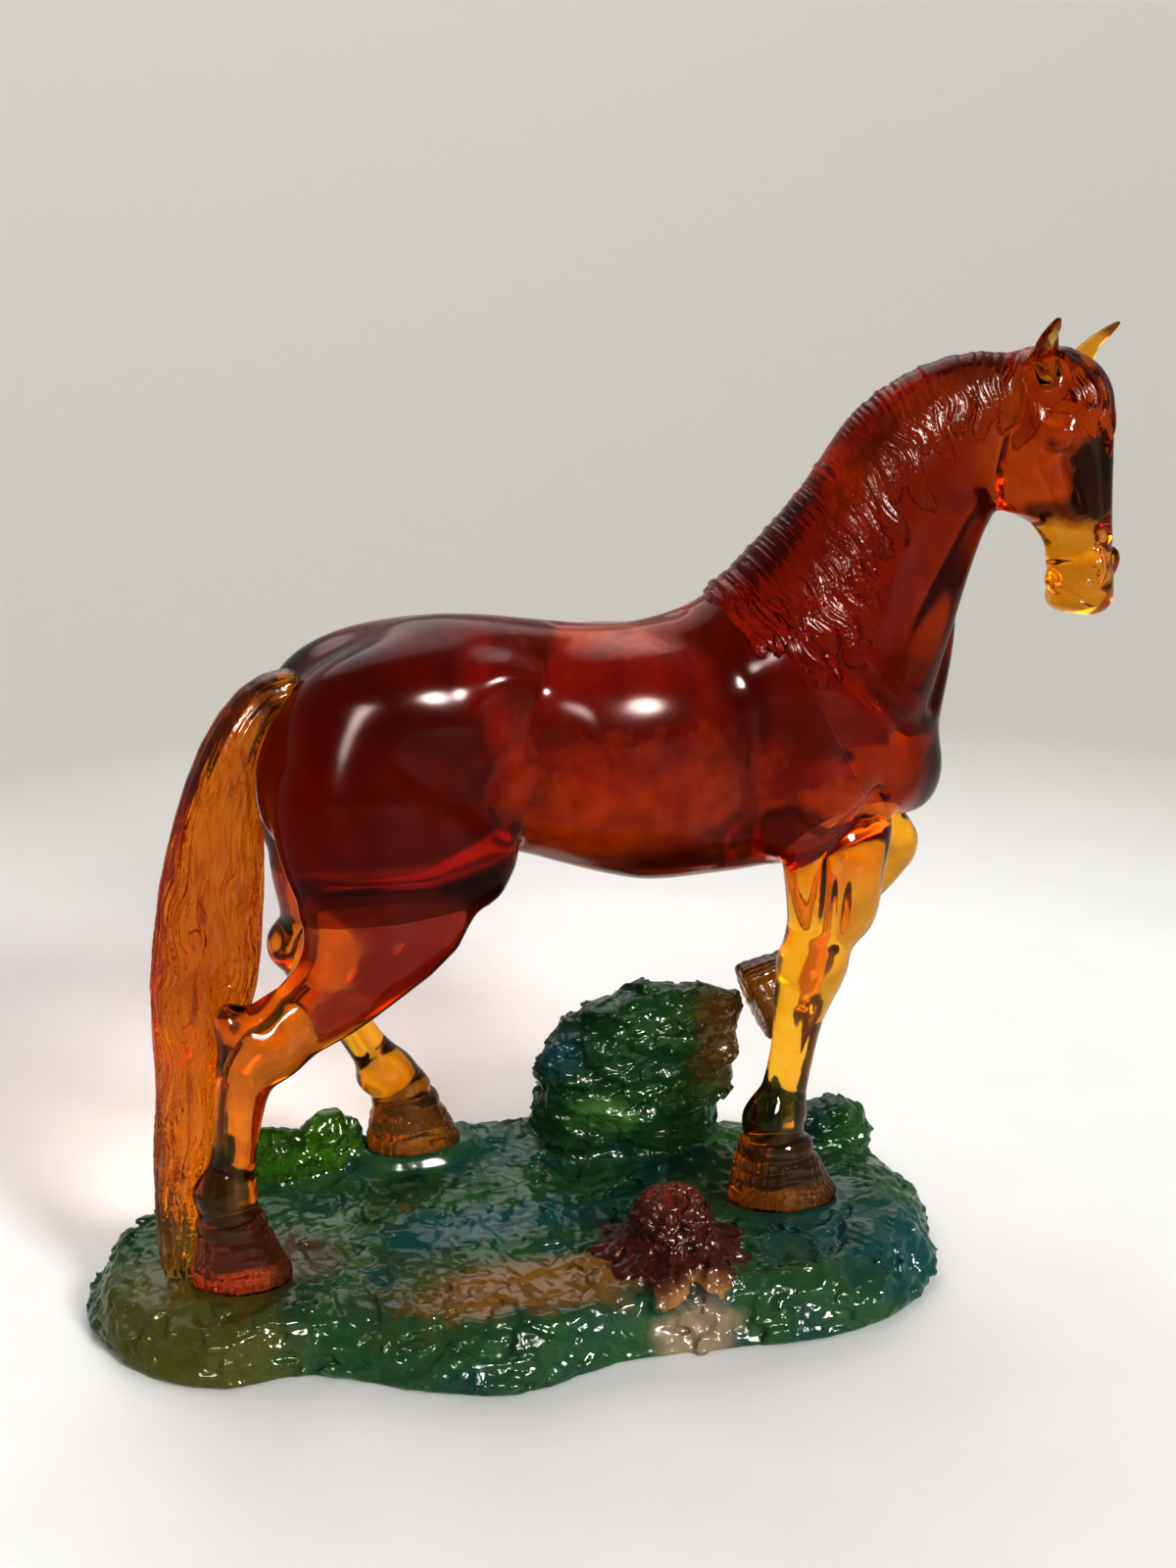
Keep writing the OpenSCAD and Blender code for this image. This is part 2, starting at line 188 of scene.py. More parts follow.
def softened(field, radius):
    """The field blurred by a bell curve whose radius is given in samples."""
    if radius > 3.0:
        for share in (0.9, 1.0, 1.1):
            reach = int(round((math.sqrt(4 * radius * radius * share + 1) - 1) / 2))
            for axis in range(3):
                field = averaged(field, reach, axis)
        return field
    reach = max(1, int(math.ceil(2.5 * radius)))
    taps = np.exp(-0.5 * (np.arange(-reach, reach + 1) / radius) ** 2)
    taps /= taps.sum()
    for axis in range(3):
        padded = np.pad(field, [(reach, reach) if i == axis else (0, 0) for i in range(3)], mode="edge")
        total = np.zeros_like(field)
        for k, tap in enumerate(taps):
            cut = [slice(None)] * 3
            cut[axis] = slice(k, k + field.shape[axis])
            total += np.float32(tap) * padded[tuple(cut)]
        field = total
    return field


def melt(a, b, blend):
    """Smooth union."""
    near = np.maximum(blend - np.abs(a - b), 0.0) / blend
    return np.minimum(a, b) - near * near * blend * 0.25


def work_in(field, window, shape, blend):
    """Adds a shape to part of the field, or carves it out where the blend is negative."""
    old = field[window]
    field[window] = melt(old, shape, blend) if blend > 0 else -melt(-old, shape, -blend)


def ramp(a, b, x):
    """0 up to a, 1 from b on, with soft ends."""
    t = np.clip((x - a) / (b - a), 0.0, 1.0)
    return t * t * (3 - 2 * t)


def bone_distance(coords, a, b, ra, rb):
    """Distance to a rod from a to b whose radius runs from ra to rb."""
    x, y, z = coords
    ax, ay, az = a
    d = np.array(b, dtype=np.float32) - np.array(a, dtype=np.float32)
    length2 = max(float(d @ d), 1e-6)
    t = np.clip(((x - ax) * d[0] + (y - ay) * d[1] + (z - az) * d[2]) / length2, 0.0, 1.0)
    gap = np.sqrt((x - ax - t * d[0]) ** 2 + (y - ay - t * d[1]) ** 2 + (z - az - t * d[2]) ** 2)
    return gap - (ra + t * (rb - ra))


def apply_rod(grid, field, stroke):
    """Adds or carves one rod: (a, b, radius at a, radius at b, blend)."""
    a, b, ra, rb, blend = stroke
    pad = max(ra, rb) + 2 * abs(blend) + 2 * grid.step
    window = grid.window(np.minimum(a, b) - pad, np.maximum(a, b) + pad)
    if window is None:
        return
    work_in(field, window, bone_distance(grid.coords(window), a, b, ra, rb), blend)


def turned(a, b, degrees):
    """Two coordinates seen from axes that are turned by the angle."""
    c, s = math.cos(math.radians(degrees)), math.sin(math.radians(degrees))
    return a * c + b * s, b * c - a * s


def apply_blob(grid, field, stroke):
    """Adds or carves one ellipsoid: (centre, half-sizes, pitch, yaw, blend)."""
    centre, sizes, pitch, yaw, blend = stroke
    pad = max(sizes) + 2 * abs(blend) + 2 * grid.step
    window = grid.window(np.array(centre) - pad, np.array(centre) + pad)
    if window is None:
        return
    x, y, z = (axis - middle for axis, middle in zip(grid.coords(window), centre))
    x, y = turned(x, y, yaw)
    x, z = turned(x, z, pitch)
    near = np.sqrt((x / sizes[0]) ** 2 + (y / sizes[1]) ** 2 + (z / sizes[2]) ** 2)
    far = np.sqrt((x / sizes[0] ** 2) ** 2 + (y / sizes[1] ** 2) ** 2 + (z / sizes[2] ** 2) ** 2)
    work_in(field, window, near * (near - 1.0) / np.maximum(far, 1e-4), blend)


def carried_out(grid, whole, cut):
    """
    The cut with its value just under the skin carried straight outwards, so that it still
    divides cleanly whatever is raised above the CAD solids.
    """
    depth = 0.5 + 1.2 * grid.step
    index = np.nonzero((whole > -depth) & (whole < MOST_RAISED) & (np.abs(cut) < CUT_REACH))
    points = grid.points_at(index)
    out = grid.slope(whole, points)
    out /= np.maximum(np.linalg.norm(out, axis=1, keepdims=True), 1e-6)
    carried = cut.copy()
    carried[index] = grid.sample(cut, points - out * (whole[index] + depth)[:, None])
    return carried


def bond_cut(grid, whole, own, others):
    """The sheet halfway between a node and those bonded to it, which divides the whole."""
    return carried_out(grid, whole, 0.5 * (own - np.minimum.reduce(others))) + BOND_GAP


# ---------------------------------------------------------------------------------------------
# Seeded noise
# ---------------------------------------------------------------------------------------------
def scatter(cells, seed):
    """A random number between -1 and 1 for each whole-number cell."""
    h = seed * 1274126177 + cells[..., 0] * 374761393 + cells[..., 1] * 668265263
    h = (h + cells[..., 2] * 2147483647) & 0xFFFFFFFF
    h = ((h ^ (h >> 13)) * 1274126177) & 0xFFFFFFFF
    return (h ^ (h >> 16)) / 2.0**31 - 1.0


def noise(points, size, seed):
    """Smooth random values from -1 to 1 that change over about size millimetres."""
    place = points / size + seed * 7.31
    base = np.floor(place).astype(np.int64)
    part = place - base
    part = part * part * part * (part * (part * 6 - 15) + 10)
    total = 0.0
    for corner, weight in corner_weights(part):
        total = total + weight * scatter(base + np.array(corner), seed)
    return total


def ridges(points, size, seed):
    """Random ridges: 1 along their tops, falling to 0 between them."""
    return 1 - np.abs(noise(points, size, seed)) * 2


def chips(points, size, seed):
    """Random flat facets about size millimetres wide, each at its own height and tilt."""
    place = points / size
    base = np.floor(place).astype(np.int64)
    best = np.full(len(points), 1e9)
    height = np.zeros(len(points))
    for corner in np.ndindex(3, 3, 3):
        cell = base + np.array(corner) - 1
        offset = np.stack([scatter(cell, seed + i) for i in range(3)], axis=1)
        away = place - cell - 0.5 - 0.45 * offset
        reach = np.einsum("ij,ij->i", away, away)
        tilt = np.stack([scatter(cell, seed + 3 + i) for i in range(3)], axis=1)
        level = scatter(cell, seed + 6) + 1.3 * np.einsum("ij,ij->i", away, tilt)
        closer = reach < best
        best[closer] = reach[closer]
        height[closer] = level[closer]
    return height


# ---------------------------------------------------------------------------------------------
# Meshes from fields
# ---------------------------------------------------------------------------------------------
def islands(count, edges):
    """The lowest vertex number of the connected island that each vertex belongs to."""
    label = np.arange(count)
    while True:
        low = np.minimum(label[edges[:, 0]], label[edges[:, 1]])
        new = label.copy()
        np.minimum.at(new, label[edges[:, 0]], low)
        np.minimum.at(new, label[edges[:, 1]], low)
        while True:
            step = new[new]
            if np.array_equal(step, new):
                break
            new = step
        if np.array_equal(new, label):
            return label
        label = new


def without_crumbs(points, quads, least=0.02):
    """Drops islands that have under a small share of the largest island's corners."""
    edges = np.concatenate([quads[:, [i, i + 1]] for i in range(3)])
    label = islands(len(points), edges)
    size = np.bincount(label, minlength=len(points))
    kept = size[label] >= least * size.max()
    quads = quads[kept[quads[:, 0]]]
    number = np.cumsum(kept) - 1
    return points[kept], number[quads]


def relaxed(points, quads):
    """Evens the surface out by smoothing it inwards, then back outwards, which keeps its size."""
    a, b = np.concatenate([quads[:, [i, (i + 1) % 4]] for i in range(4)]).T
    n = len(points)
    count = np.maximum(np.bincount(a, minlength=n) + np.bincount(b, minlength=n), 1)
    for share in (0.5, -0.52):
        total = np.stack(
            [np.bincount(a, points[b, i], n) + np.bincount(b, points[a, i], n) for i in range(3)], axis=1
        )
        points = points + share * (total / count[:, None] - points)
    return points


def settled(grid, field, cut, points, quads):
    """
    Pulls the corners onto the exact surface, and those of the rim where the cut meets the
    outside onto both, so that neighbouring pieces share one crisp edge.
    """
    centres = points[quads].mean(axis=1)
    on_cut = grid.sample(cut, centres) > grid.sample(field, centres)
    touches = np.zeros((len(points), 2), dtype=bool)
    touches[quads[on_cut].ravel(), 1] = True
    touches[quads[~on_cut].ravel(), 0] = True
    rim = touches.all(axis=1)
    for _ in range(SETTLING_ROUNDS):
        f, g = grid.sample(field, points), grid.sample(cut, points)
        df, dg = grid.slope(field, points), grid.slope(cut, points)
        ff, gg = (df * df).sum(1) + 1e-6, (dg * dg).sum(1) + 1e-6
        step = np.where(touches[:, 1:], dg * (g / gg)[:, None], df * (f / ff)[:, None])
        fg = (df * dg).sum(1)
        det = np.maximum(ff * gg - fg * fg, 0.05 * ff * gg)
        a, b = (f * gg - g * fg) / det, (g * ff - f * fg) / det
        both = df * a[:, None] + dg * b[:, None]
        step[rim] = both[rim]
        size = np.linalg.norm(step, axis=1, keepdims=True)
        step *= np.minimum(1.0, 0.5 * grid.step / np.maximum(size, 1e-9))
        points = points - step
    return points, on_cut, rim


def add_object(name, data):
    """Puts a new object with this mesh, lamp or camera into the scene."""
    made = bpy.data.objects.new(name, data)
    bpy.context.scene.collection.objects.link(made)
    return made


def new_piece(name, points, quads, bonded, rim):
    """
    A smooth-shaded mesh object from points in millimetres. Its skin attribute is 0 on the faces
    that are bonded to another piece and 1 on the rest, and rim marks the points between them.
    """
    mesh = bpy.data.meshes.new(name)
    mesh.from_pydata((points * MM).tolist(), [], quads.tolist())
    mesh.polygons.foreach_set("use_smooth", np.ones(len(mesh.polygons), dtype=bool))
    skin = mesh.attributes.new("skin", "FLOAT", "FACE")
    skin.data.foreach_set("value", 1.0 - bonded.astype(np.float32))
    ends = np.empty(len(mesh.edges) * 2, dtype=np.int64)
    mesh.edges.foreach_get("vertices", ends)
    mesh.edges.foreach_set("use_edge_sharp", rim[ends.reshape(-1, 2)].all(axis=1))
    mesh.update()
    return add_object(name, mesh)


def piece_from(grid, field, cut, name, covered=None):
    """
    The solid inside the field and behind the cut. Faces on the cut, and those that
    covered(points) says another piece lies on, are bonded faces.
    """
    points, quads = grid.surface(np.maximum(field, cut))
    points, quads = without_crumbs(points.astype(np.float64), quads.astype(np.int64))
    points, bonded, rim = settled(grid, field, cut, relaxed(points, quads), quads)
    if covered is not None:
        bonded = bonded | covered(points)[quads].all(axis=1)
    return new_piece(name, points, quads, bonded, rim)


# ---------------------------------------------------------------------------------------------
# Anatomy: strokes in millimetres that model muscle and bone onto the CAD solids
# ---------------------------------------------------------------------------------------------
RIGHT, LEFT = -1, 1
HEAD_AT = (191.0, -11.0)
HEAD_TURN = math.radians(52)


def in_head(forward, aside, height):
    """A point of the head's own frame; aside is positive to the horse's right."""
    return (
        HEAD_AT[0] + forward * math.cos(HEAD_TURN) - aside * math.sin(HEAD_TURN),
        HEAD_AT[1] - forward * math.sin(HEAD_TURN) - aside * math.cos(HEAD_TURN),
        height,
    )


def trunk_strokes():
    """Muscles of the trunk, the same on both sides."""
    blobs, rods = [], []
    for s in (RIGHT, LEFT):
        blobs += [
            ((-40, s * 16.5, 211), (34, 17.5, 21.5), 0, 0, 10),    # croup
            ((-54, s * 24, 180), (24, 14, 31), 8, 0, 9),           # back of the thigh
            ((-53, s * 27, 145), (20, 11.5, 18), 25, 0, 9),        # top of the gaskin
            ((-20, s * 25, 166), (13, 11, 20), 25, 0, 8),          # stifle
            ((-8, s * 24.5, 221), (10, 5.5, 6.5), 0, 0, 9),        # point of the hip
            ((108, s * 19, 201), (38, 15, 20), -54, 0, 9),         # shoulder blade
            ((135, s * 17, 178), (12, 12, 15), 0, 0, 8),           # point of the shoulder
            ((103, s * 25, 177), (19, 12, 20), -25, 0, 7),         # long muscle above the elbow
            ((93, s * 25, 162), (9, 5.5, 9), 0, 0, 9),             # elbow
            ((144, s * 11, 174), (11, 11, 15), 0, 0, 7),           # breast
            ((36, s * 18, 193), (46, 21.5, 34), 0, 0, 7),          # rib cage
            ((1, s * 42, 203), (14, 8, 25), 0, 0, -10),            # hollow of the flank
            ((75, s * 44, 200), (8, 8, 24), 6, 0, -9),             # hollow behind the shoulder
        ]
        rods += [
            ((-7, s * 28, 188), (-9, s * 26, 164), 3.6, 3.6, 9),       # fold of the flank
            ((79, s * 38, 222), (77, s * 36, 168), 2.5, 2.5, -8),      # girth line behind the shoulder
            ((90, s * 31, 240), (132, s * 30, 196), 2.0, 2.0, -6),     # line in front of the shoulder blade
            ((124, s * 30, 172), (108, s * 37, 160), 1.6, 1.6, -5),    # line above the forearm
            ((130, s * 20, 205), (162, s * 9, 262), 9.0, 7.0, 9),      # long muscle of the neck
            ((149, s * 21, 200), (168, s * 9, 255), 1.8, 1.5, -6),     # groove of the throat
        ]
    rods += [
        ((-92, 0, 196), (-86, 0, 160), 3.5, 3.5, -8),    # cleft under the dock
        ((163, 0, 196), (150, 0, 152), 2.0, 2.5, -6),    # cleft of the breast
        ((20, 0, 236), (60, 0, 236), 1.2, 1.2, -6),      # line of the back
    ]
    return blobs, rods


def leg_strokes():
    blobs = [
        ((117, -26, 139), (9, 9, 19), 8, 0, 6),        # right forearm
        ((103.5, -26, 111), (11.5, 9.8, 9), 0, 0, 5),  # right knee
        ((97, -26, 101), (5, 5, 6), 0, 0, 4),          # and the bone behind it
        ((91.5, -26, 56), (10, 8.8, 7), 0, 0, 5),      # right front fetlock
        ((85, -26, 53), (5, 6, 5), 0, 0, 4),           # and the bulge behind it
        ((154, 22, 134), (9, 9.5, 9), 0, 0, 5),        # left knee
        ((127, 22, 99), (9, 8.4, 7), 35, 0, 4),        # left front fetlock
        ((-99, -27, 115), (6, 5.5, 8), 20, 0, 5),      # point of the right hock
        ((-86, -27, 105), (10, 10, 9), 30, 0, 6),      # right hock
        ((-104.5, -25, 55), (10, 8.6, 7), 0, 0, 5),    # right hind fetlock
        ((-71, 35, 116), (6, 5.5, 8), 0, 0, 5),        # point of the left hock
        ((-59, 35, 108), (9, 9.8, 9), 20, 0, 6),       # left hock
        ((-36, 41, 59), (9.5, 8.6, 7), 20, 0, 5),      # left hind fetlock
    ]
    rods = []
    for s in (RIGHT, LEFT):
        rods += [
            # Lines beside the tendons of the two right legs, then of the two left ones
            ((96, -26 + s * 8.5, 96), (91.5, -26 + s * 8.2, 66), 1.0, 1.0, -3),
            ((-101, -26.5 + s * 8.6, 96), (-104.5, -25.5 + s * 8, 66), 1.0, 1.0, -3),
            ((144, 22 + s * 8.6, 118), (132, 22 + s * 7.8, 105), 1.0, 1.0, -3),
            ((-56, 38 + s * 8.6, 92), (-42, 40 + s * 8, 68), 1.0, 1.0, -3),
            # Hollows in front of the two hocks, and down the right forearm
            ((-78, -27 + s * 9.5, 134), (-91, -27 + s * 8.5, 119), 2.0, 1.4, -4),
            ((-65, 33 + s * 9.5, 126), (-69, 35 + s * 9, 114), 1.8, 1.2, -4),
            ((110, -25 + s * 12.5, 150), (108, -26 + s * 11, 122), 1.4, 1.0, -4),
        ]
    return blobs, rods


def head_strokes():
    blobs, rods = [], []
    turn = -math.degrees(HEAD_TURN)
    for s in (1, -1):
        blobs += [
            (in_head(-7, s * 8.5, 277), (14, 8, 16), 8, turn, 5),       # cheek
            (in_head(6, s * 11, 294), (8, 6, 7), 0, turn, 4),           # temple
            (in_head(9.5, s * 13.2, 293.5), (6, 3.6, 3.2), -12, turn, 2.5),   # brow
            (in_head(10.5, s * 13.6, 289), (3.8, 3.0, 3.2), -12, turn, 0.7),  # eye
            (in_head(8, s * 15.4, 301), (4, 3, 4.5), 0, turn, -4),      # hollow above the eye
            (in_head(15, s * 12.5, 276), (4, 4, 10), 10, turn, -6),     # hollow beside the nose
        ]
        rods += [
            (in_head(7, s * 13.4, 283), in_head(15, s * 8.6, 264), 2.2, 1.6, 6),    # bone of the cheek
            (in_head(6, s * 15.4, 286.2), in_head(14.5, s * 13.8, 286.2), 0.8, 0.5, -1.2),  # under the eye
            (in_head(-16, s * 9, 262), in_head(2, s * 11.5, 258), 2.0, 1.5, -4),      # under the jaw
        ]
    blobs += [
        (in_head(10.5, 0, 299), (8, 11, 12), 0, turn, 6),            # forehead
        ((184.9, -25.8, 318.5), (2.4, 3.4, 9), 0, turn, -1.0),       # hollow of the right ear
        ((213.4, -5.0, 317.5), (2.2, 3.0, 7), 0, turn, -1.0),        # hollow of the left ear
    ]
    rods += [
        (in_head(16, 0, 292), in_head(20.5, 0, 256), 4.5, 4.0, 6),     # bridge of the nose
        (in_head(-12, 0, 262), in_head(2, 0, 252), 5.0, 4.0, -4),        # between the jaws
    ]
    return blobs, rods


def muzzle_strokes():
    blobs, rods = [], []
    turn = -math.degrees(HEAD_TURN)
    for s in (1, -1):
        blobs += [
            (in_head(21.3, s * 6.4, 246), (4.2, 3.4, 6.0), -25, turn, 3.0),    # wing of the nostril
            (in_head(23.0, s * 8.8, 244.5), (2.3, 1.9, 3.4), -25, turn, -0.8),   # nostril
            (in_head(8.5, s * 7.2, 241), (3.4, 3.6, 4.2), 0, turn, 2.5),       # corner of the mouth
            (in_head(8.5, s * 11.6, 241), (1.5, 1.2, 2.0), 0, turn, -0.8),
        ]
        rods += [
            (in_head(7, s * 11, 241), in_head(16, s * 10.2, 237), 0.9, 0.9, -1.0),     # mouth
            (in_head(16, s * 10.2, 237), in_head(24, s * 7, 233.5), 0.9, 0.7, -1.0),
        ]
    blobs += [
        (in_head(19.5, 0, 234.5), (6.5, 7.5, 5.5), 0, turn, 3),    # upper lip
        (in_head(8.5, 0, 234), (5.5, 6.5, 5), 0, turn, 3),         # chin
    ]
    return blobs, rods


def all_strokes():
    blobs, rods = [], []
    for group in (trunk_strokes, leg_strokes, head_strokes, muzzle_strokes):
        more_blobs, more_rods = group()
        blobs += more_blobs
        rods += more_rods
    return blobs, rods


BLOBS, RODS = all_strokes()

TRUNK = ["torso", "neck"]
EARS = ["ear_right", "ear_left"]
LIMBS = [
    "head", "muzzle", "foreleg_right", "foreleg_left", "hindleg_right", "hindleg_left",
    "hoof_front_right", "hoof_front_left", "hoof_hind_right", "hoof_hind_left",
]
FLESH = TRUNK + EARS + LIMBS
# Sample step of each piece of the horse, in millimetres
STEP = {
    "torso": 0.9, "neck": 0.8, "head": 0.5, "muzzle": 0.4, "ear_right": 0.35, "ear_left": 0.35,
    "foreleg_right": 0.6, "foreleg_left": 0.6, "hindleg_right": 0.6, "hindleg_left": 0.6,
    "hoof_front_right": 0.55, "hoof_front_left": 0.55, "hoof_hind_right": 0.55, "hoof_hind_left": 0.55,
}
# Softening of the ears, the limbs and the trunk, in millimetres
SOFT_EARS = 0.5
SOFT_LIMBS = 1.1
SOFT_TRUNK = 3.5
TRUNK_SWELL = 0.2    # gives back what the softening takes off the trunk
HOOF_DEPTH = 2.5     # the hooves' relief fades out this far from them
# Each hoof: the middle of its coronet, the pitch of its axis and how far its middle lies ahead
HOOVES = {
    "hoof_front_right": ((91, -26, 46), -90, 4), "hoof_front_left": ((118, 22, 86), -158, 4),
    "hoof_hind_right": ((-103, -25, 46), -90, 4), "hoof_hind_left": ((-28, 41, 50), -90, 4),
}


def near(a, b, margin):
    """True if the boxes of two CAD nodes come within the margin of each other."""
    (low_a, high_a), (low_b, high_b) = node_box(a), node_box(b)
    return bool(np.all(low_a - margin < high_b) and np.all(high_a + margin > low_b))


def away_from(names, raw):
    """0 on the named nodes, growing to 1 where their distances end."""
    present = [raw[n] for n in names if n in raw]
    if not present:
        return np.float32(1.0)
    return np.clip(np.minimum.reduce(present) / (0.95 * LEAST_REACH), 0, 1)


def flesh_field(grid, raw, whole):
    """
    The modelled horse inside a grid, from the distances to the CAD nodes that reach into it
    and to all of them together.
    """
    field = softened(whole, SOFT_LIMBS / grid.step)
    if set(EARS) & set(raw):
        crisp = softened(whole, SOFT_EARS / grid.step)
        field = field + (1 - away_from(EARS, raw)) * (crisp - field)
    if set(TRUNK) & set(raw):
        round_body = softened(whole, SOFT_TRUNK / grid.step) - TRUNK_SWELL
        field = field + away_from(EARS + LIMBS, raw) * (round_body - field)
    for blob in BLOBS:
        apply_blob(grid, field, blob)
    for rod in RODS:
        apply_rod(grid, field, rod)
    return field


def horn_height(name, points):
    """Relief of a hoof: a rounded coronet at the top, then growth rings and fine upright lines."""
    coronet, pitch, toe = HOOVES[name]
    rest = points - np.array(coronet)
    turn = math.radians(pitch)
    down = rest[:, 0] * math.cos(turn) + rest[:, 2] * math.sin(turn)
    ahead = rest[:, 2] * math.cos(turn) - rest[:, 0] * math.sin(turn)
    around = np.arctan2(rest[:, 1], ahead - toe)
    rings = 0.12 * np.sin(down / 0.62 + 1.5 * wander(12 * around, 9, 91))
    lines = 0.7 * strands(15 * around, down, 1.9, 92) - 0.45
    band = 0.6 * np.exp(-((down - 1.5) / 2.4) ** 2) - 0.4 * np.exp(-((down - 5.2) / 1.2) ** 2)
    return ramp(-3, 1, down) * (band + ramp(5, 8, down) * (rings + lines))


def horse_piece(name):
    margin = 8.0 if name in TRUNK else 6.0
    grid = Grid.around(name, STEP[name], margin)
    nodes = [n for n in FLESH if n == name or near(name, n, margin)]
    raw = {n: grid.node(n) for n in nodes}
    whole = grid.joined(list(raw.values()))
    field = flesh_field(grid, raw, whole)
    index, points = grid.band(field, 5.0)
    for hoof in set(HOOVES) & set(raw):
        on_hoof = 1 - ramp(0.0, HOOF_DEPTH, raw[hoof][index])
        field[index] -= (on_hoof * horn_height(hoof, points)).astype(np.float32)
    cut = bond_cut(grid, whole, raw[name], [raw[n] for n in nodes if n != name])
    return piece_from(grid, field, cut, name + "_glass", under_hair)


# ---------------------------------------------------------------------------------------------
# Hair: locks and strands raised on the body, laid out along a guide through its cross-sections
# ---------------------------------------------------------------------------------------------
BASE_TOP = 22.0
PLACED_AT_ONCE = 20000
HAIR_COVERS = 0.25         # hair this thick hides the skin under it
FORELOCK_TOP = 313.0
MANE_BOX = ((62, -42, 205), (196, 34, 322))
FORELOCK_BOX = ((180, -44, 268), (222, 4, 326))


class Guide:
    """A chain of cross-sections: x, y, height over the base, pitch, yaw, half-size up, half-size aside."""

    def __init__(self, stations, count=160):
        rows = np.array(stations, dtype=float)
        at = np.linspace(0, len(rows) - 1.001, count)
        k, part = at.astype(int), (at % 1)[:, None]
        before, after = rows[np.maximum(k - 1, 0)], rows[np.minimum(k + 2, len(rows) - 1)]
        a, b = rows[k], rows[k + 1]
        rows = 0.5 * (
            2 * a + (b - before) * part + (2 * before - 5 * a + 4 * b - after) * part**2
            + (3 * a - before - 3 * b + after) * part**3
        )
        self.centre = rows[:, :3] + [0, 0, BASE_TOP]
        pitch, yaw = np.radians(rows[:, 3]), np.radians(rows[:, 4])
        self.heading = np.stack([np.cos(pitch) * np.cos(yaw), np.cos(pitch) * np.sin(yaw), np.sin(pitch)], 1)
        self.up = np.stack([-np.sin(pitch) * np.cos(yaw), -np.sin(pitch) * np.sin(yaw), np.cos(pitch)], 1)
        self.side = np.cross(self.heading, self.up)
        self.half = rows[:, 5:7]
        steps = np.linalg.norm(np.diff(self.centre, axis=0), axis=1)
        self.length = np.concatenate([[0], np.cumsum(steps)])

    def place(self, points):
        """For each point: mm along, up from and right of the guide, and the section's half-sizes."""
        out = np.zeros((len(points), 5))
        for i in range(0, len(points), PLACED_AT_ONCE):
            some = points[i:i + PLACED_AT_ONCE]
            away = some[:, None, :] - self.centre[None]
            ahead = np.einsum("nkc,kc->nk", away, self.heading)
            k = np.argmin(np.abs(ahead) + 0.15 * np.linalg.norm(away, axis=2), axis=1)
            rest = some - self.centre[k]
            rows = out[i:i + PLACED_AT_ONCE]
            rows[:, 0] = self.length[k] + (rest * self.heading[k]).sum(1)
            rows[:, 1] = (rest * self.up[k]).sum(1)
            rows[:, 2] = (rest * self.side[k]).sum(1)
            rows[:, 3:] = self.half[k]
        return out.T


NECK_GUIDE = Guide([
    (72, 0, 174, 12, 0, 52, 33), (105, 0, 174, 27.5, 0, 54, 32), (124, 0, 190, 30, 0, 55.5, 30),
    (132, -1, 209, 33, -2, 47.5, 26), (138, -2, 228, 34, -4, 41.5, 23), (143, -3, 245, 33, -6, 35.5, 20),
    (152, -3, 258, 26, -10, 30.5, 17.5), (162, -3, 266, 17, -18, 27, 15.5),
    (174, -4, 270, 6, -32, 24, 13.5), (182, -7, 269, -8, -44, 21, 12), (189, -12, 268, -14, -50, 19, 11),
    (195, -19, 266, -20, -54, 18, 11),
])
TAIL_GUIDE = Guide([
    (-60, 0, 194, -180, 0, 7, 9), (-71, 0, 196, -170, 0, 8.5, 10), (-82, -1, 191, -140, 0, 10, 10.5),
    (-91, -3, 176, -112, 0, 12.5, 11), (-97, -4, 154, -100, 0, 15, 11), (-101, -5, 130, -95, 0, 17, 11),
    (-105, -6, 100, -92, 0, 17.5, 11), (-110, -8, 66, -90, 0, 13, 10), (-116, -11, 36, -90, 0, 9, 8),
    (-119, -14, 12, -88, 0, 7, 7), (-119, -15, -3, -88, 0, 5, 5),
])


# The middle line of each ear from its root to its tip, in two straight parts
EAR_LINES = [
    (in_head(3.6, 10, 307), in_head(2.9, 13.8, 319)), (in_head(2.9, 13.8, 319), in_head(9, 18, 333)),
    (in_head(3.6, -10.5, 307), in_head(3.9, -19, 316)), (in_head(3.9, -19, 316), in_head(11, -29, 327)),
]


def wander(x, size, seed):
    """Smooth random values from -1 to 1 along one line."""
    line = np.zeros((len(x), 3))
    line[:, 0] = x
    return noise(line, size, seed)


def own_value(cells, seed):
    """A random number between -1 and 1 for each whole number along one line."""
    return scatter(np.stack([cells, 0 * cells, 0 * cells], 1).astype(np.int64), seed)


def strands(across, along, pitch, seed):
    """Rounded strands side by side, each with its own height, from 0 to 1."""
    bend = 0.35 * noise(np.stack([across / pitch, along / 9.0, 0 * along], 1), 1.0, seed)
    q = across / pitch + bend
    own = 0.65 + 0.35 * own_value(np.floor(q), seed + 5)
    return own * np.sqrt(np.abs(np.sin(np.pi * q)))


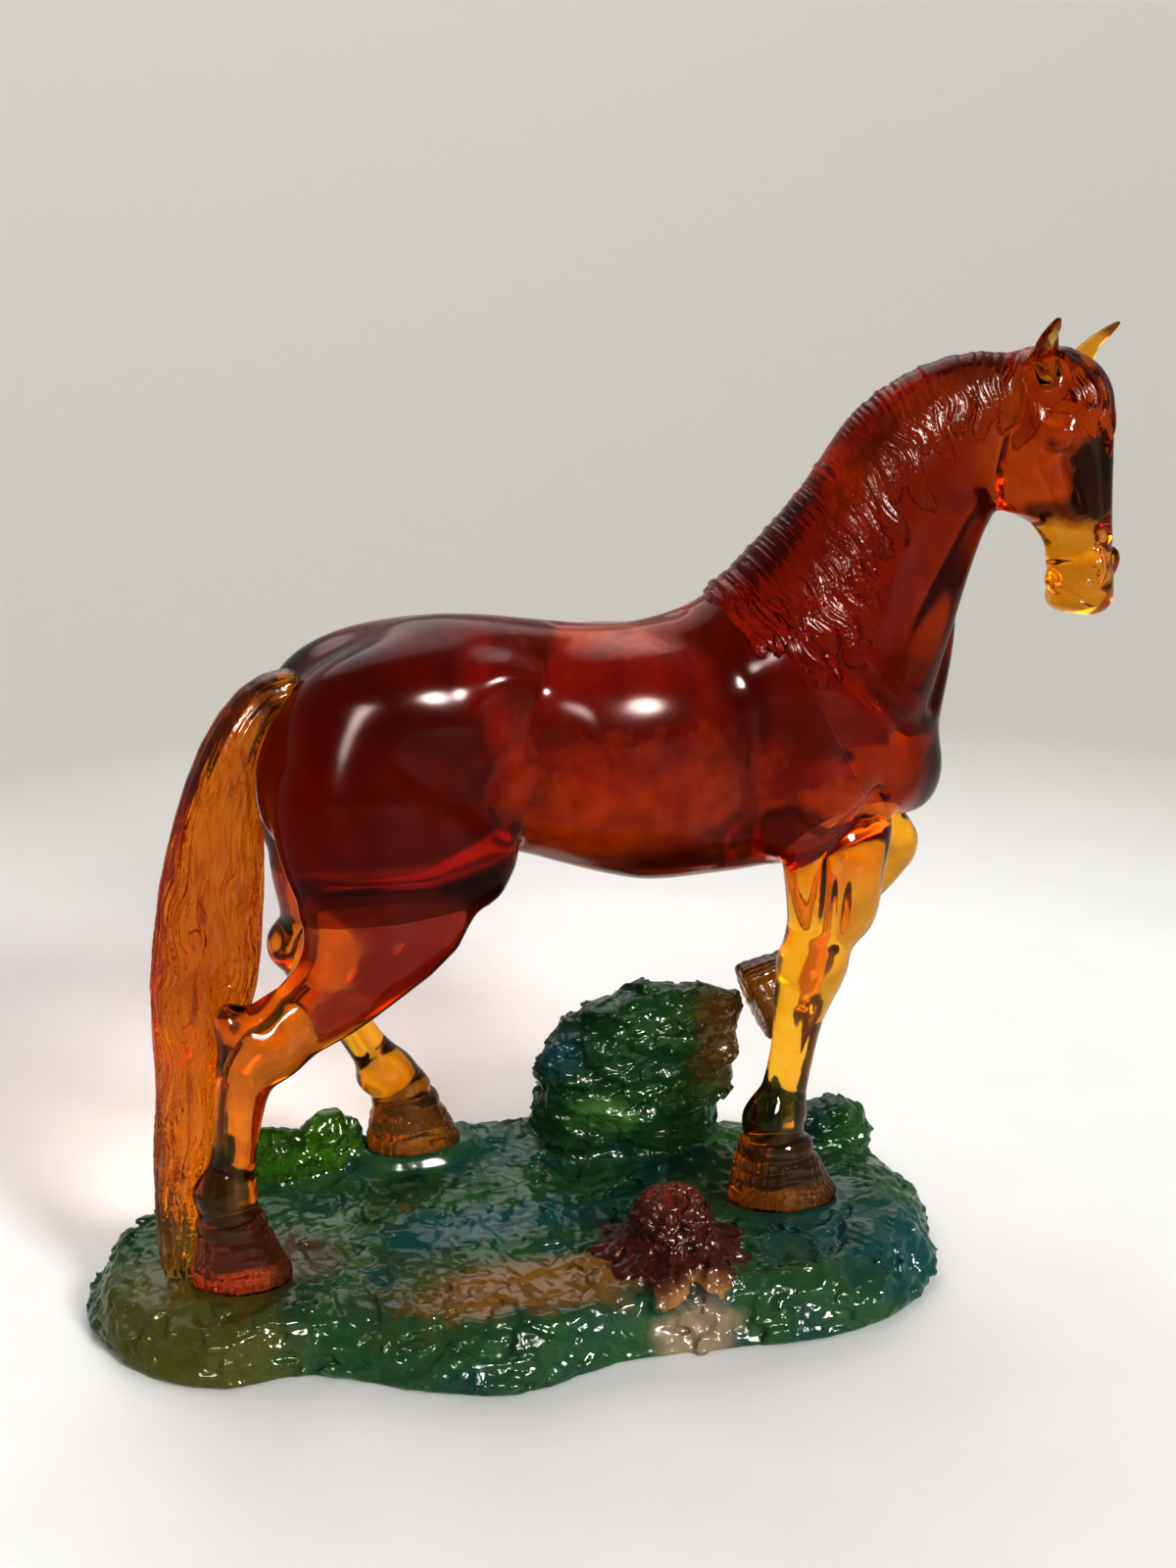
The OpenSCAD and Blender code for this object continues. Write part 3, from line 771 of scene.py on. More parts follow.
def mane_layer(t, drop, near_side, pitch, reach, seed):
    """One layer of locks on the neck: how thick it is where a point lies drop mm below the crest."""
    sway = 1.7 * np.sin(drop / 3.2 + 1.8 * wander(t, 17, seed)) * ramp(0, 12, drop)
    q = (t + sway + 0.10 * drop) / pitch + 0.3 * wander(t, 21, seed + 1)
    lock = np.floor(q)
    own = 0.5 + 0.5 * own_value(lock, seed + 2)
    within = 2 * (q - lock) - 1
    sway_own = 0.8 * np.sin(drop / 2.6 + 6 * own) * ramp(4, 16, drop)
    length = reach * (0.72 + 0.38 * own) * np.where(near_side, 1.0, 0.35)
    tip = 1 - ramp(0.45, 1.0, (drop + 7 * within**2) / np.maximum(length, 1.0))
    body = (0.35 + 0.45 * np.sqrt(np.maximum(1 - within**2, 0))) * (0.8 + 0.4 * own)
    fine = strands(t + sway + sway_own, drop, 2.3, seed + 3)
    return tip * (body + 0.8 * fine)


def thinned(height):
    """Ends a lock with a crisp edge instead of a film."""
    return height - 0.5 * (1 - ramp(0.15, 0.6, height))


def mane_height(points):
    """Thickness of the mane over the skin at each point."""
    t, up, side, half, _ = NECK_GUIDE.place(points)
    drop = half - up
    right = side > 0
    reach = np.interp(t, [4, 20, 45, 85, 130, 165, 183], [0, 30, 60, 52, 42, 34, 20])
    long = mane_layer(t, drop, right, 9.0, reach, 3)
    short = mane_layer(t + 3.7, drop, right, 7.0, 0.62 * reach, 11)
    crest = 0.5 * (1 - ramp(0, 14, drop))
    ends = ramp(8, 20, t) * (1 - ramp(172, 183, t))
    height = ends * (np.maximum(long, 1.25 * short) * 0.95 + crest * ramp(0.1, 0.5, long))
    return thinned(height * clear_of_ears(points))


def forelock_height(points):
    """Thickness of the forelock over the forehead at each point."""
    away = points - np.array([HEAD_AT[0], HEAD_AT[1], 0])
    forward = away[:, 0] * math.cos(HEAD_TURN) - away[:, 1] * math.sin(HEAD_TURN)
    aside = -away[:, 0] * math.sin(HEAD_TURN) - away[:, 1] * math.cos(HEAD_TURN)
    fall = FORELOCK_TOP - points[:, 2]
    sway = 1.3 * np.sin(fall / 3.4) * ramp(3, 12, fall)
    q = (aside - 1.0 - 0.08 * fall + sway) / 5.0
    lock = np.floor(q + 0.5)
    own = 0.5 + 0.5 * own_value(lock, 31)
    within = 2 * (q - lock)
    length = np.interp(np.abs(lock), [0, 1, 2, 3], [34, 27, 17, 0]) * (0.85 + 0.3 * own)
    tip = 1 - ramp(0.6, 1.0, (fall + 6 * within**2) / np.maximum(length, 1.0))
    fine = strands(5.0 * q, fall, 1.7, 35)
    body = 0.6 + 0.7 * np.sqrt(np.maximum(1 - within**2, 0))
    return thinned(tip * (body + 0.5 * fine) * ramp(-2, 4, forward) * clear_of_ears(points))


def clear_of_ears(points):
    """0 on the ears, which hair leaves free, and 1 away from them."""
    away = np.full(len(points), REACH)
    for low, high in EAR_LINES:
        line = np.subtract(high, low)
        along = np.clip((points - low) @ line / (line @ line), 0, 1)
        away = np.minimum(away, np.linalg.norm(points - low - along[:, None] * line, axis=1))
    return ramp(6.6, 8.4, away)


def hair_height(points):
    """Thickness of the mane or the forelock, whichever is thicker."""
    height = np.full(len(points), -1.0)
    for inside, relief in (
        ((points[:, 2] > 200) & (points[:, 0] > 60), mane_height),
        ((points[:, 2] > 262) & (points[:, 0] > 180), forelock_height),
    ):
        if inside.any():
            height[inside] = np.maximum(height[inside], relief(points[inside]))
    return height


def under_hair(points):
    return hair_height(points) > HAIR_COVERS


def hair_piece(name, relief, step, corners):
    """Locks raised on the skin between two corners, down to the skin itself."""
    grid = Grid(*corners, step * DETAIL)
    raw = {n: grid.node(n) for n in FLESH}
    raw = {n: field for n, field in raw.items() if field.min() < grid.reach}
    skin = flesh_field(grid, raw, grid.joined(list(raw.values())))
    field = np.full(grid.shape, REACH, dtype=np.float32)
    index, points = grid.band(skin, 4.5)
    field[index] = (skin[index] - relief(points)).astype(np.float32)
    return piece_from(grid, field, BOND_GAP - skin, name + "_glass")


def tail_relief(points):
    t, up, side, high, wide = TAIL_GUIDE.place(points)
    around = np.arctan2(side / wide, up / high)
    across = 13.0 * around
    grown = ramp(20, 110, t)
    sway = 1.5 * np.sin(t / 5.2 + 2.0 * wander(across, 9, 41)) * grown
    q = (across + sway + 0.02 * t) / 6.5
    lock = np.floor(q)
    within = 2 * (q - lock) - 1
    own = 0.5 + 0.5 * own_value(lock, 43)
    body = (0.25 + 0.75 * grown) * (1.3 * np.sqrt(np.maximum(1 - within**2, 0)) + 0.6 * own)
    fine = strands(across + sway, t, 2.0, 44) * (0.35 + 0.65 * grown)
    lumps = 0.6 * noise(points, 24, 46) * grown
    return body + fine + lumps - 1.4


def tail_piece():
    grid = Grid.around("tail", 0.55, 4.0)
    own = grid.node("tail")
    skin = softened(own, 1.2 / grid.step)
    index, points = grid.band(skin, 5.0)
    skin[index] -= tail_relief(points).astype(np.float32)
    others = [grid.node(n) for n in ("torso", "base_ground", "hoof_hind_right", "hindleg_right")]
    cut = bond_cut(grid, grid.joined([own] + others), own, others)
    return piece_from(grid, skin, cut, "tail_glass")


# ---------------------------------------------------------------------------------------------
# The rocky base
# ---------------------------------------------------------------------------------------------
GROUND = ["base_ground", "boulder", "back_rock", "leaf_tuft", "burr_ball", "burr_roots"]
GROUND_STEP = {
    "base_ground": 1.0, "boulder": 0.75, "back_rock": 0.7, "leaf_tuft": 0.6, "burr_ball": 0.4,
    "burr_roots": 0.55,
}
STANDING_HOOVES = ["hoof_front_right", "hoof_hind_right", "hoof_hind_left"]
STANDS_ON_IT = STANDING_HOOVES + ["tail"]
BURR_AT = (43.0, -52.0)
BURR_REACH = 3.0     # the burr's and the leaves' relief fades out this far from them
FRONT_EDGE = -74.5   # from here on the roots bend down over the front
FRONT_LIMIT = -83.0
# Root tendrils: direction in degrees, length and how far they curl, from the foot of the burr
TENDRILS = [
    (-150, 26, 6), (-128, 30, -7), (-112, 33, 5), (-96, 36, -5), (-80, 35, 7), (-64, 33, -6),
    (-45, 28, 6), (-20, 24, -5), (10, 20, 5), (60, 18, -4), (110, 20, 5), (150, 22, -6), (178, 26, 6),
]


def tendril_rods():
    """Curly roots that creep out from the burr over the base and down its front."""
    rods = []
    for degrees, length, curl in TENDRILS:
        angle = math.radians(degrees)
        line = []
        for k in range(7):
            s = k / 6
            out = 8 + s * (length - 4)
            lean = curl * math.sin(5.5 * s)
            x = BURR_AT[0] + out * math.cos(angle) - lean * math.sin(angle)
            y = BURR_AT[1] + out * math.sin(angle) + lean * math.cos(angle)
            over = max(0.0, FRONT_EDGE - y)
            line.append((x, max(y, FRONT_LIMIT), BASE_TOP + 5.0 * (1 - s) ** 1.5 + 0.6 - 1.6 * over))
        rods += [(line[k], line[k + 1], 2.7 - 0.25 * k, 2.45 - 0.25 * k, 1.6) for k in range(6)]
    return rods


def crag(points):
    """Relief of broken rock on the whole base, calm under the hooves and on the underside."""
    squashed = points * [1.0, 1.0, 1.7]
    relief = (
        1.7 * noise(points, 38, 51)
        + 1.5 * (ridges(squashed, 21, 52) - 0.5)
        + 1.0 * chips(squashed, 12, 53)
        + 0.65 * chips(squashed, 6, 63)
        + 0.3 * noise(points, 2.8, 55)
    )
    calm = ramp(0.0, 4.0, points[:, 2])
    for name in STANDING_HOOVES:
        low, high = node_box(name)
        middle, half = (low + high) / 2, (high - low) / 2
        away = np.hypot((points[:, 0] - middle[0]) / half[0], (points[:, 1] - middle[1]) / half[1])
        calm = calm * np.maximum(ramp(0.9, 1.7, away), 0.12)
    return calm * relief


def fibres(points):
    """Relief of the burr and its roots: a rough shaggy ball over strands that run away from it."""
    dx, dy = points[:, 0] - BURR_AT[0], points[:, 1] - BURR_AT[1]
    angle = np.arctan2(dy, dx)
    out = np.hypot(dx, dy)
    ball = ramp(28, 33, points[:, 2]) * (1 - ramp(14, 18, out))
    shag = 1.1 * ridges(points, 4.6, 75) + 0.9 * chips(points, 3.0, 76) + 0.5 * noise(points, 1.8, 77) - 0.7
    q = 7.0 * angle + 1.2 * noise(points, 7, 71)
    roots = (
        0.8 * np.abs(np.sin(1.5 * q)) - 0.5 + 0.9 * noise(points, 5, 72)
        + 0.5 * strands(9 * angle, out + points[:, 2], 1.4, 73) + 0.4 * noise(points, 1.9, 74)
    )
    return ball * shag + (1 - ball) * roots


def fronds(points):
    """Relief of the leafy tuft: rounded crumpled leaves."""
    return 1.3 * (ridges(points, 8, 81) - 0.4) + 0.7 * chips(points, 5, 82) + 0.4 * noise(points, 2.5, 83)


def ground_relief(points, near_burr, near_leaf):
    relief = crag(points)
    for share, other in ((near_burr, fibres), (near_leaf, fronds)):
        inside = share > 0
        if inside.any():
            relief[inside] += share[inside] * (other(points[inside]) - relief[inside])
    return relief


def ground_piece(name):
    margin = 6.0
    grid = Grid.around(name, GROUND_STEP[name], margin)
    nodes = [n for n in GROUND + STANDS_ON_IT if n == name or near(name, n, margin)]
    raw = {n: grid.node(n) for n in nodes}
    rock = grid.joined([raw[n] for n in nodes if n in GROUND])
    field = softened(rock, 1.3 / grid.step)
    for rod in tendril_rods():
        apply_rod(grid, field, rod)
    index, points = grid.band(field, margin)
    shares = []
    for wanted in (("burr_ball", "burr_roots"), ("leaf_tuft",)):
        there = [raw[n][index] for n in wanted if n in raw]
        away = np.minimum.reduce(there) if there else np.full(len(points), REACH)
        shares.append(np.clip(1 - away / BURR_REACH, 0, 1))
    field[index] -= ground_relief(points, *shares).astype(np.float32)
    field = np.maximum(field, -grid.coords()[2])
    whole = grid.joined([np.minimum(rock, np.minimum.reduce(list(raw.values())))])
    cut = bond_cut(grid, whole, raw[name], [raw[n] for n in nodes if n != name])
    return piece_from(grid, field, cut, name + "_glass")


# ---------------------------------------------------------------------------------------------
# Materials
# ---------------------------------------------------------------------------------------------
class Nodes:
    """Short calls for building the node tree of a material or a world."""

    def __init__(self, owner, output, space):
        owner.use_nodes = True
        self.owner = owner
        self.tree = owner.node_tree
        self.tree.nodes.clear()
        self.output = self.add(output)
        self.place = self.add("ShaderNodeTexCoord").outputs[space]

    @classmethod
    def material(cls, name):
        return cls(bpy.data.materials.new(name), "ShaderNodeOutputMaterial", "Object")

    def add(self, kind, **settings):
        node = self.tree.nodes.new(kind)
        for key, value in settings.items():
            setattr(node, key, value)
        return node

    def link(self, a, b):
        self.tree.links.new(a, b)

    def noise(self, size, detail=3.0, warp=0.0, stretch=(1, 1, 1)):
        """Noise that changes over about size millimetres."""
        mapping = self.add("ShaderNodeMapping")
        mapping.inputs["Scale"].default_value = stretch
        self.link(self.place, mapping.inputs["Vector"])
        node = self.add("ShaderNodeTexNoise")
        node.inputs["Scale"].default_value = 1.0 / (size * MM)
        node.inputs["Detail"].default_value = detail
        node.inputs["Distortion"].default_value = warp
        self.link(mapping.outputs["Vector"], node.inputs["Vector"])
        return node.outputs["Fac"]

    def ramp(self, fac, *stops):
        """A colour ramp from (position, colour) stops."""
        node = self.add("ShaderNodeValToRGB")
        band = node.color_ramp
        while len(band.elements) < len(stops):
            band.elements.new(0.5)
        for element, (position, colour) in zip(band.elements, stops):
            element.position = position
            element.color = (*colour, 1.0)
        self.link(fac, node.inputs["Fac"])
        return node.outputs["Color"]

    def fit(self, fac, low, high, to_low=0.0, to_high=1.0):
        """Stretches the range from low to high over another one."""
        node = self.add("ShaderNodeMapRange")
        for key, value in zip(("From Min", "From Max", "To Min", "To Max"), (low, high, to_low, to_high)):
            node.inputs[key].default_value = value
        self.link(fac, node.inputs["Value"])
        return node.outputs["Result"]

    def zone(self, centre, sizes, turn=0.0):
        """1 in the middle of an ellipsoid given in millimetres, falling to 0 at its surface."""
        mapping = self.add("ShaderNodeMapping", vector_type="TEXTURE")
        mapping.inputs["Location"].default_value = [v * MM for v in centre]
        mapping.inputs["Rotation"].default_value = (0, math.radians(-turn), 0)
        mapping.inputs["Scale"].default_value = [v * MM for v in sizes]
        self.link(self.place, mapping.inputs["Vector"])
        ball = self.add("ShaderNodeTexGradient", gradient_type="SPHERICAL")
        self.link(mapping.outputs["Vector"], ball.inputs["Vector"])
        return ball.outputs["Fac"]

    def mix(self, fac, a, b, blend="MIX"):
        """Mixes two colours, or a colour over another one in full where fac is None."""
        node = self.add("ShaderNodeMix", data_type="RGBA", blend_type=blend)
        if fac is None:
            node.inputs[0].default_value = 1.0
        else:
            self.link(fac, node.inputs[0])
        for value, socket in ((a, node.inputs[6]), (b, node.inputs[7])):
            if isinstance(value, tuple):
                socket.default_value = (*value, 1.0)
            else:
                self.link(value, socket)
        return node.outputs[2]


def absorb(nodes, loss):
    """Plain absorption: what red, green and blue lose per millimetre of glass, as exponents."""
    volume = nodes.add("ShaderNodeVolumeAbsorption")
    most, darkest = max(loss), 0.98
    volume.inputs["Color"].default_value = (*[1 - darkest * v / most for v in loss], 1.0)
    volume.inputs["Density"].default_value = most / darkest / MM
    nodes.link(volume.outputs["Volume"], nodes.output.inputs["Volume"])


def glass(name, tints, loss, rough, clear=1.0, size=45, zones=(), stretch=(1, 1, 1), shine=0.45, ior=1.5):
    """
    Cast glass that runs on unbroken into its neighbours through its bonded faces. tints are the
    surface colours of its streaks, loss its absorption, clear how much light passes, zones are
    patches of another colour, on the trunk, the neck and the hind legs partly painted glow and
    painted shade (centre, sizes, turn, colour, strength), shine is how strongly it reflects what it
    faces and ior how strongly it bends light.
    """
    n = Nodes.material(name)
    shader = n.add("ShaderNodeBsdfPrincipled")
    shader.inputs["Transmission Weight"].default_value = clear
    shader.inputs["IOR"].default_value = ior
    shader.inputs["Specular Tint"].default_value = (shine, 0.94 * shine, 0.9 * shine, 1.0)
    streaks = n.noise(size, 4.0, 0.8, stretch)
    stops = [(0.32 + 0.36 * k / (len(tints) - 1), tint) for k, tint in enumerate(tints)]
    colour = n.ramp(streaks, *stops)
    ragged = n.fit(n.noise(9, 3.0), 0.3, 0.7, -0.12, 0.12)
    for centre, sizes, turn, patch, strength in zones:
        edge = n.add("ShaderNodeMath", operation="ADD")
        n.link(n.zone(centre, sizes, turn), edge.inputs[0])
        n.link(ragged, edge.inputs[1])
        colour = n.mix(n.fit(edge.outputs[0], 0.12, 0.5, 0.0, strength), colour, patch)
    n.link(colour, shader.inputs["Base Color"])
    n.link(n.fit(n.noise(30, 2.0), 0.3, 0.7, 0.8 * rough, 1.2 * rough), shader.inputs["Roughness"])
    n.link(shader.outputs["BSDF"], n.output.inputs["Surface"])
    n.link(n.add("ShaderNodeAttribute", attribute_name="skin").outputs["Fac"], shader.inputs["Alpha"])
    absorb(n, loss)
    return n.owner


# Orange laid on as painted glow, standing in for light that shines through the glass
PAINTED_GLOW = (1.0, 0.56, 0.09)
# Darkest ruby: the trunk's own streak colour, also laid on in patches as painted shade
DUSK = (0.10, 0.007, 0.009)
# Dark red laid on the root of the neck as painted shade
BLOOD = (0.26, 0.02, 0.016)
# What the trunk, the head and the mane lose per millimetre, and how strongly they bend light
TRUNK_LOSS = (0.0045, 0.027, 0.10)
TRUNK_IOR = 1.38


def ruby_glass():
    return glass(
        "ruby", [DUSK, (0.25, 0.026, 0.018), DUSK],
        TRUNK_LOSS, 0.17, 1.0, 60,
        [
            # Painted glow and painted shade: the orange patches on the belly, the upper back, the fold of
            # the flank and the chest paint light shining through the glass; the dark patches under the
            # barrel, on the croup and thigh and behind the shoulder paint shade
            ((38, 0, 182), (72, 60, 38), 0, PAINTED_GLOW, 1.0),
            ((30, 0, 151), (90, 60, 17), 0, DUSK, 0.9),
            ((34, 0, 238), (46, 40, 17), 0, PAINTED_GLOW, 0.8),
            ((-6, 0, 200), (12, 60, 40), 12, (0.7, 0.16, 0.05), 0.7),
            ((108, 0, 170), (26, 60, 21), 0, (0.9, 0.4, 0.08), 0.85),
            ((-50, 0, 208), (60, 60, 44), 0, DUSK, 0.75),
            ((74, 0, 212), (20, 60, 34), 0, DUSK, 0.7),
        ],
        shine=0.3, ior=TRUNK_IOR,
    )


def neck_glass():
    return glass(
        "russet", [(0.26, 0.04, 0.02), (0.46, 0.09, 0.03), (0.32, 0.055, 0.022)],
        TRUNK_LOSS, 0.15, 1.0, 40,
        [
            # Painted glow and painted shade: the orange patches down the front of the neck, at its top and
            # low on the chest paint light shining through the glass; the darker red at the root of the neck
            # and the dark breast paint shade
            ((158, 0, 228), (22, 30, 62), -28, (0.85, 0.35, 0.07), 0.9),
            ((172, -4, 286), (18, 30, 26), 0, (0.6, 0.16, 0.035), 0.8),
            ((96, 0, 232), (46, 40, 44), 0, BLOOD, 0.8),
            ((116, 0, 174), (22, 40, 20), 0, (0.9, 0.4, 0.08), 0.6),
            ((152, 0, 182), (34, 60, 44), 0, DUSK, 0.95),
        ],
        shine=0.3, ior=TRUNK_IOR,
    )


def amber_glass():
    return glass(
        "amber", [(0.58, 0.20, 0.03), (0.86, 0.42, 0.08), (0.66, 0.27, 0.04)],
        (0.006, 0.028, 0.11), 0.09, 1.0, 26,
        [
            ((-42, 38, 80), (38, 24, 50), 0, (1.0, 0.72, 0.16), 0.95),
            ((-58, 0, 136), (46, 60, 24), 0, (0.66, 0.13, 0.03), 0.8),
            # Painted shade: dark where the leg meets the thigh, going on from the torso's painted shade
            ((-50, 0, 174), (62, 60, 38), 0, DUSK, 0.95),
            # Painted glow: a red spot of light shining through the glass at the right hock
            ((-78, -27, 135), (12, 14, 22), 40, (0.9, 0.10, 0.03), 0.7),
        ],
    )


def head_glass():
    slate, gold = (0.004, 0.002, 0.003), (0.95, 0.58, 0.10)
    return glass(
        "ember", [(0.48, 0.10, 0.015), (0.80, 0.26, 0.04), (0.56, 0.14, 0.02)],
        TRUNK_LOSS, 0.12, 1.0, 26,
        [
            (in_head(19, 4, 276), (15, 24, 28), 0, slate, 1.0),
            (in_head(0, 10, 302), (14, 10, 12), 0, (0.5, 0.06, 0.03), 0.7),
            (in_head(9, 13, 289), (7, 6, 5), 0, slate, 0.9),
            (in_head(9, 8, 265), (22, 16, 8), 8, slate, 0.85),
            (in_head(-14, 6, 262), (10, 14, 9), 0, slate, 0.8),
            (in_head(10, 2, 252), (30, 26, 15), 6, gold, 1.0),
        ],
        ior=TRUNK_IOR,
    )


def gold_glass():
    return glass(
        "gold", [(0.95, 0.56, 0.09), (1.0, 0.76, 0.22), (0.96, 0.62, 0.12)],
        (0.003, 0.020, 0.11), 0.08, 1.0, 18,
        [
            ((110, -26, 150), (28, 22, 24), 0, (0.92, 0.34, 0.05), 0.9),
            (in_head(14, 0, 244), (26, 26, 24), 0, (0.86, 0.44, 0.07), 0.7),
        ],
    )


def ear_glass():
    return glass(
        "ear_gold", [(0.24, 0.08, 0.02), (0.40, 0.16, 0.035), (0.28, 0.10, 0.025)],
        (0.010, 0.035, 0.10), 0.08, 1.0, 14,
        [
            ((182.4, -23, 318.5), (4.8, 24, 11.5), 4, (0.99, 0.84, 0.42), 1.0),
            ((210, -4, 314), (12, 24, 15), 40, (0.98, 0.60, 0.10), 1.0),
        ],
        ior=1.15,
    )


def tail_glass():
    return glass(
        "tail_amber", [(0.34, 0.09, 0.013), (0.74, 0.38, 0.06), (0.80, 0.47, 0.09), (0.48, 0.15, 0.025)],
        (0.006, 0.036, 0.12), 0.14, 1.0, 3.6,
        [
            ((-119, -15, 24), (16, 16, 26), 0, (0.95, 0.80, 0.42), 0.9),
            ((-74, 0, 208), (13, 18, 20), 30, (0.10, 0.03, 0.02), 0.9),
        ],
        (1, 1, 0.09), 0.35,
    )


def hair_glass():
    crest = (0.05, 0.012, 0.012)
    return glass(
        "mane_umber", [(0.20, 0.045, 0.025), (0.46, 0.13, 0.045), (0.26, 0.06, 0.03)],
        TRUNK_LOSS, 0.17, 1.0, 6,
        [
            ((106, 0, 262), (36, 30, 22), -52, crest, 0.9),
            ((128, 2, 290), (34, 30, 21), -45, crest, 0.9),
            ((158, 4, 314), (38, 30, 15), -18, crest, 0.9),
            ((96, 0, 252), (36, 40, 36), 0, (0.20, 0.03, 0.03), 0.8),
            (in_head(14, 0, 300), (26, 24, 28), 0, (0.66, 0.20, 0.05), 0.9),
        ],
        (1, 1, 0.5), 0.2, TRUNK_IOR,
    )


def hoof_glass():
    return glass(
        "hoof_olive", [(0.16, 0.09, 0.02), (0.36, 0.21, 0.045), (0.22, 0.12, 0.03)],
        (0.02, 0.04, 0.11), 0.12, 0.92, 6,
        [((-103, -25, 30), (26, 24, 26), 0, (0.42, 0.08, 0.04), 0.9)],
        (1, 1, 0.25),
    )


def moss_glass():
    olive, teal, amber = (0.15, 0.15, 0.015), (0.014, 0.14, 0.14), (0.42, 0.20, 0.035)
    return glass(
        "moss", [(0.016, 0.085, 0.045), (0.05, 0.16, 0.05), (0.014, 0.10, 0.08)],
        (0.030, 0.012, 0.022), 0.2, 0.45, 34,
        [
            ((-125, -40, 12), (55, 60, 40), 0, olive, 0.95),
            ((-100, -75, 10), (22, 18, 20), 0, amber, 0.7),
            ((-20, -55, 16), (62, 26, 26), 0, olive, 0.8),
            ((-4, -59, 19), (60, 23, 20), 0, amber, 0.9),
            ((112, -55, 8), (60, 34, 28), 0, teal, 0.95),
            ((-10, -12, 20), (60, 18, 20), 0, teal, 0.8),
            ((43, -78, 6), (22, 16, 18), 0, (0.65, 0.45, 0.3), 0.7),
            ((43, -62, 22), (30, 22, 14), 0, (0.16, 0.05, 0.02), 0.9),
            ((90, -20, 24), (34, 20, 12), 0, (0.06, 0.045, 0.015), 0.7),
            ((-88, -18, 24), (34, 24, 12), 0, (0.14, 0.08, 0.02), 0.8),
        ],
    )


def rock_glass():
    return glass(
        "rock", [(0.008, 0.045, 0.018), (0.025, 0.11, 0.025), (0.01, 0.065, 0.045)],
        (0.030, 0.010, 0.020), 0.2, 0.45, 26,
        [
            ((92, 20, 62), (24, 22, 34), 0, (0.17, 0.09, 0.02), 0.9),
            ((38, 15, 40), (20, 14, 14), 0, (0.16, 0.36, 0.10), 0.85),
            ((24, 20, 66), (14, 20, 16), 0, (0.01, 0.10, 0.12), 0.8),
            ((140, 10, 24), (26, 22, 18), 0, (0.03, 0.15, 0.02), 0.8),
        ],
    )


def leaf_glass():
    return glass(
        "leaf", [(0.03, 0.11, 0.008), (0.10, 0.25, 0.02), (0.04, 0.14, 0.012)],
        (0.030, 0.006, 0.06), 0.14, 0.7, 12,
    )


def burr_glass():
    return glass(
        "burr", [(0.045, 0.007, 0.006), (0.12, 0.018, 0.009), (0.03, 0.006, 0.005)],
        (0.02, 0.08, 0.12), 0.25, 0.3, 6,
        [
            ((43, -77, 14), (26, 12, 16), 0, (0.50, 0.25, 0.08), 0.9),
            ((43, -50, 42), (14, 16, 10), 0, (0.28, 0.05, 0.02), 0.7),
        ],
    )


# ---------------------------------------------------------------------------------------------
# Floor, light and camera
# ---------------------------------------------------------------------------------------------
def floor():
    """A pale floor out to the horizon, white around the object and greyer far away."""
    far = 400.0
    corners = [(-far, -far, 0), (far, -far, 0), (far, far, 0), (-far, far, 0)]
    mesh = bpy.data.meshes.new("floor")
    mesh.from_pydata(corners, [], [(0, 1, 2, 3)])
    n = Nodes.material("pale_floor")
    shader = n.add("ShaderNodeBsdfPrincipled")
    shader.inputs["Roughness"].default_value = 0.6
    shader.inputs["Specular IOR Level"].default_value = 0.3
    away = n.zone((60, -60, 0), (1100, 1100, 1100))
    tone = n.ramp(n.noise(60, 3.0), (0.3, (0.83, 0.825, 0.81)), (0.7, (0.86, 0.855, 0.84)))
    n.link(n.mix(n.fit(away, 0.35, 0.65), (0.53, 0.505, 0.46), tone), shader.inputs["Base Color"])
    n.link(shader.outputs["BSDF"], n.output.inputs["Surface"])
    mesh.materials.append(n.owner)
    add_object("floor", mesh)


def window(name, azimuth, elevation, spread, strength, glint=False):
    """
    Soft light from a far window; the angles are in degrees and its spread is how wide it looks. A
    glint is seen only in reflections.
    """
    light = bpy.data.lights.new(name, "SUN")
    light.angle = math.radians(spread)
    light.energy = strength
    lamp = add_object(name, light)
    lamp.rotation_euler = (math.radians(90 - elevation), 0, math.radians(azimuth + 90))
    lamp.visible_diffuse = lamp.visible_transmission = not glint


def room_light():
    """Soft light from all around: grey overhead, a little warmer at eye level, darker behind the camera."""
    world = bpy.data.worlds.new("studio")
    bpy.context.scene.world = world
    n = Nodes(world, "ShaderNodeOutputWorld", "Generated")
    split = n.add("ShaderNodeSeparateXYZ")
    n.link(n.place, split.inputs["Vector"])
    upward = n.mix(n.fit(split.outputs["Z"], 0.0, 0.25), (0.58, 0.56, 0.52), (0.50, 0.50, 0.50))
    backward = n.mix(n.fit(split.outputs["Y"], -0.5, 0.3), (0.42, 0.42, 0.42), (1.0, 1.0, 1.0))
    sky = n.add("ShaderNodeBackground")
    sky.inputs["Strength"].default_value = 1.2
    n.link(n.mix(None, upward, backward, "MULTIPLY"), sky.inputs["Color"])
    n.link(sky.outputs["Background"], n.output.inputs["Surface"])


def lights():
    room_light()
    window("key", -66, 30, 13, 2.2)
    window("second", -110, 22, 10, 0.7)
    window("back", 86, 50, 50, 1.2)
    window("key_glint", -66, 30, 15, 8.0, glint=True)
    window("second_glint", -108, 26, 12, 2.6, glint=True)


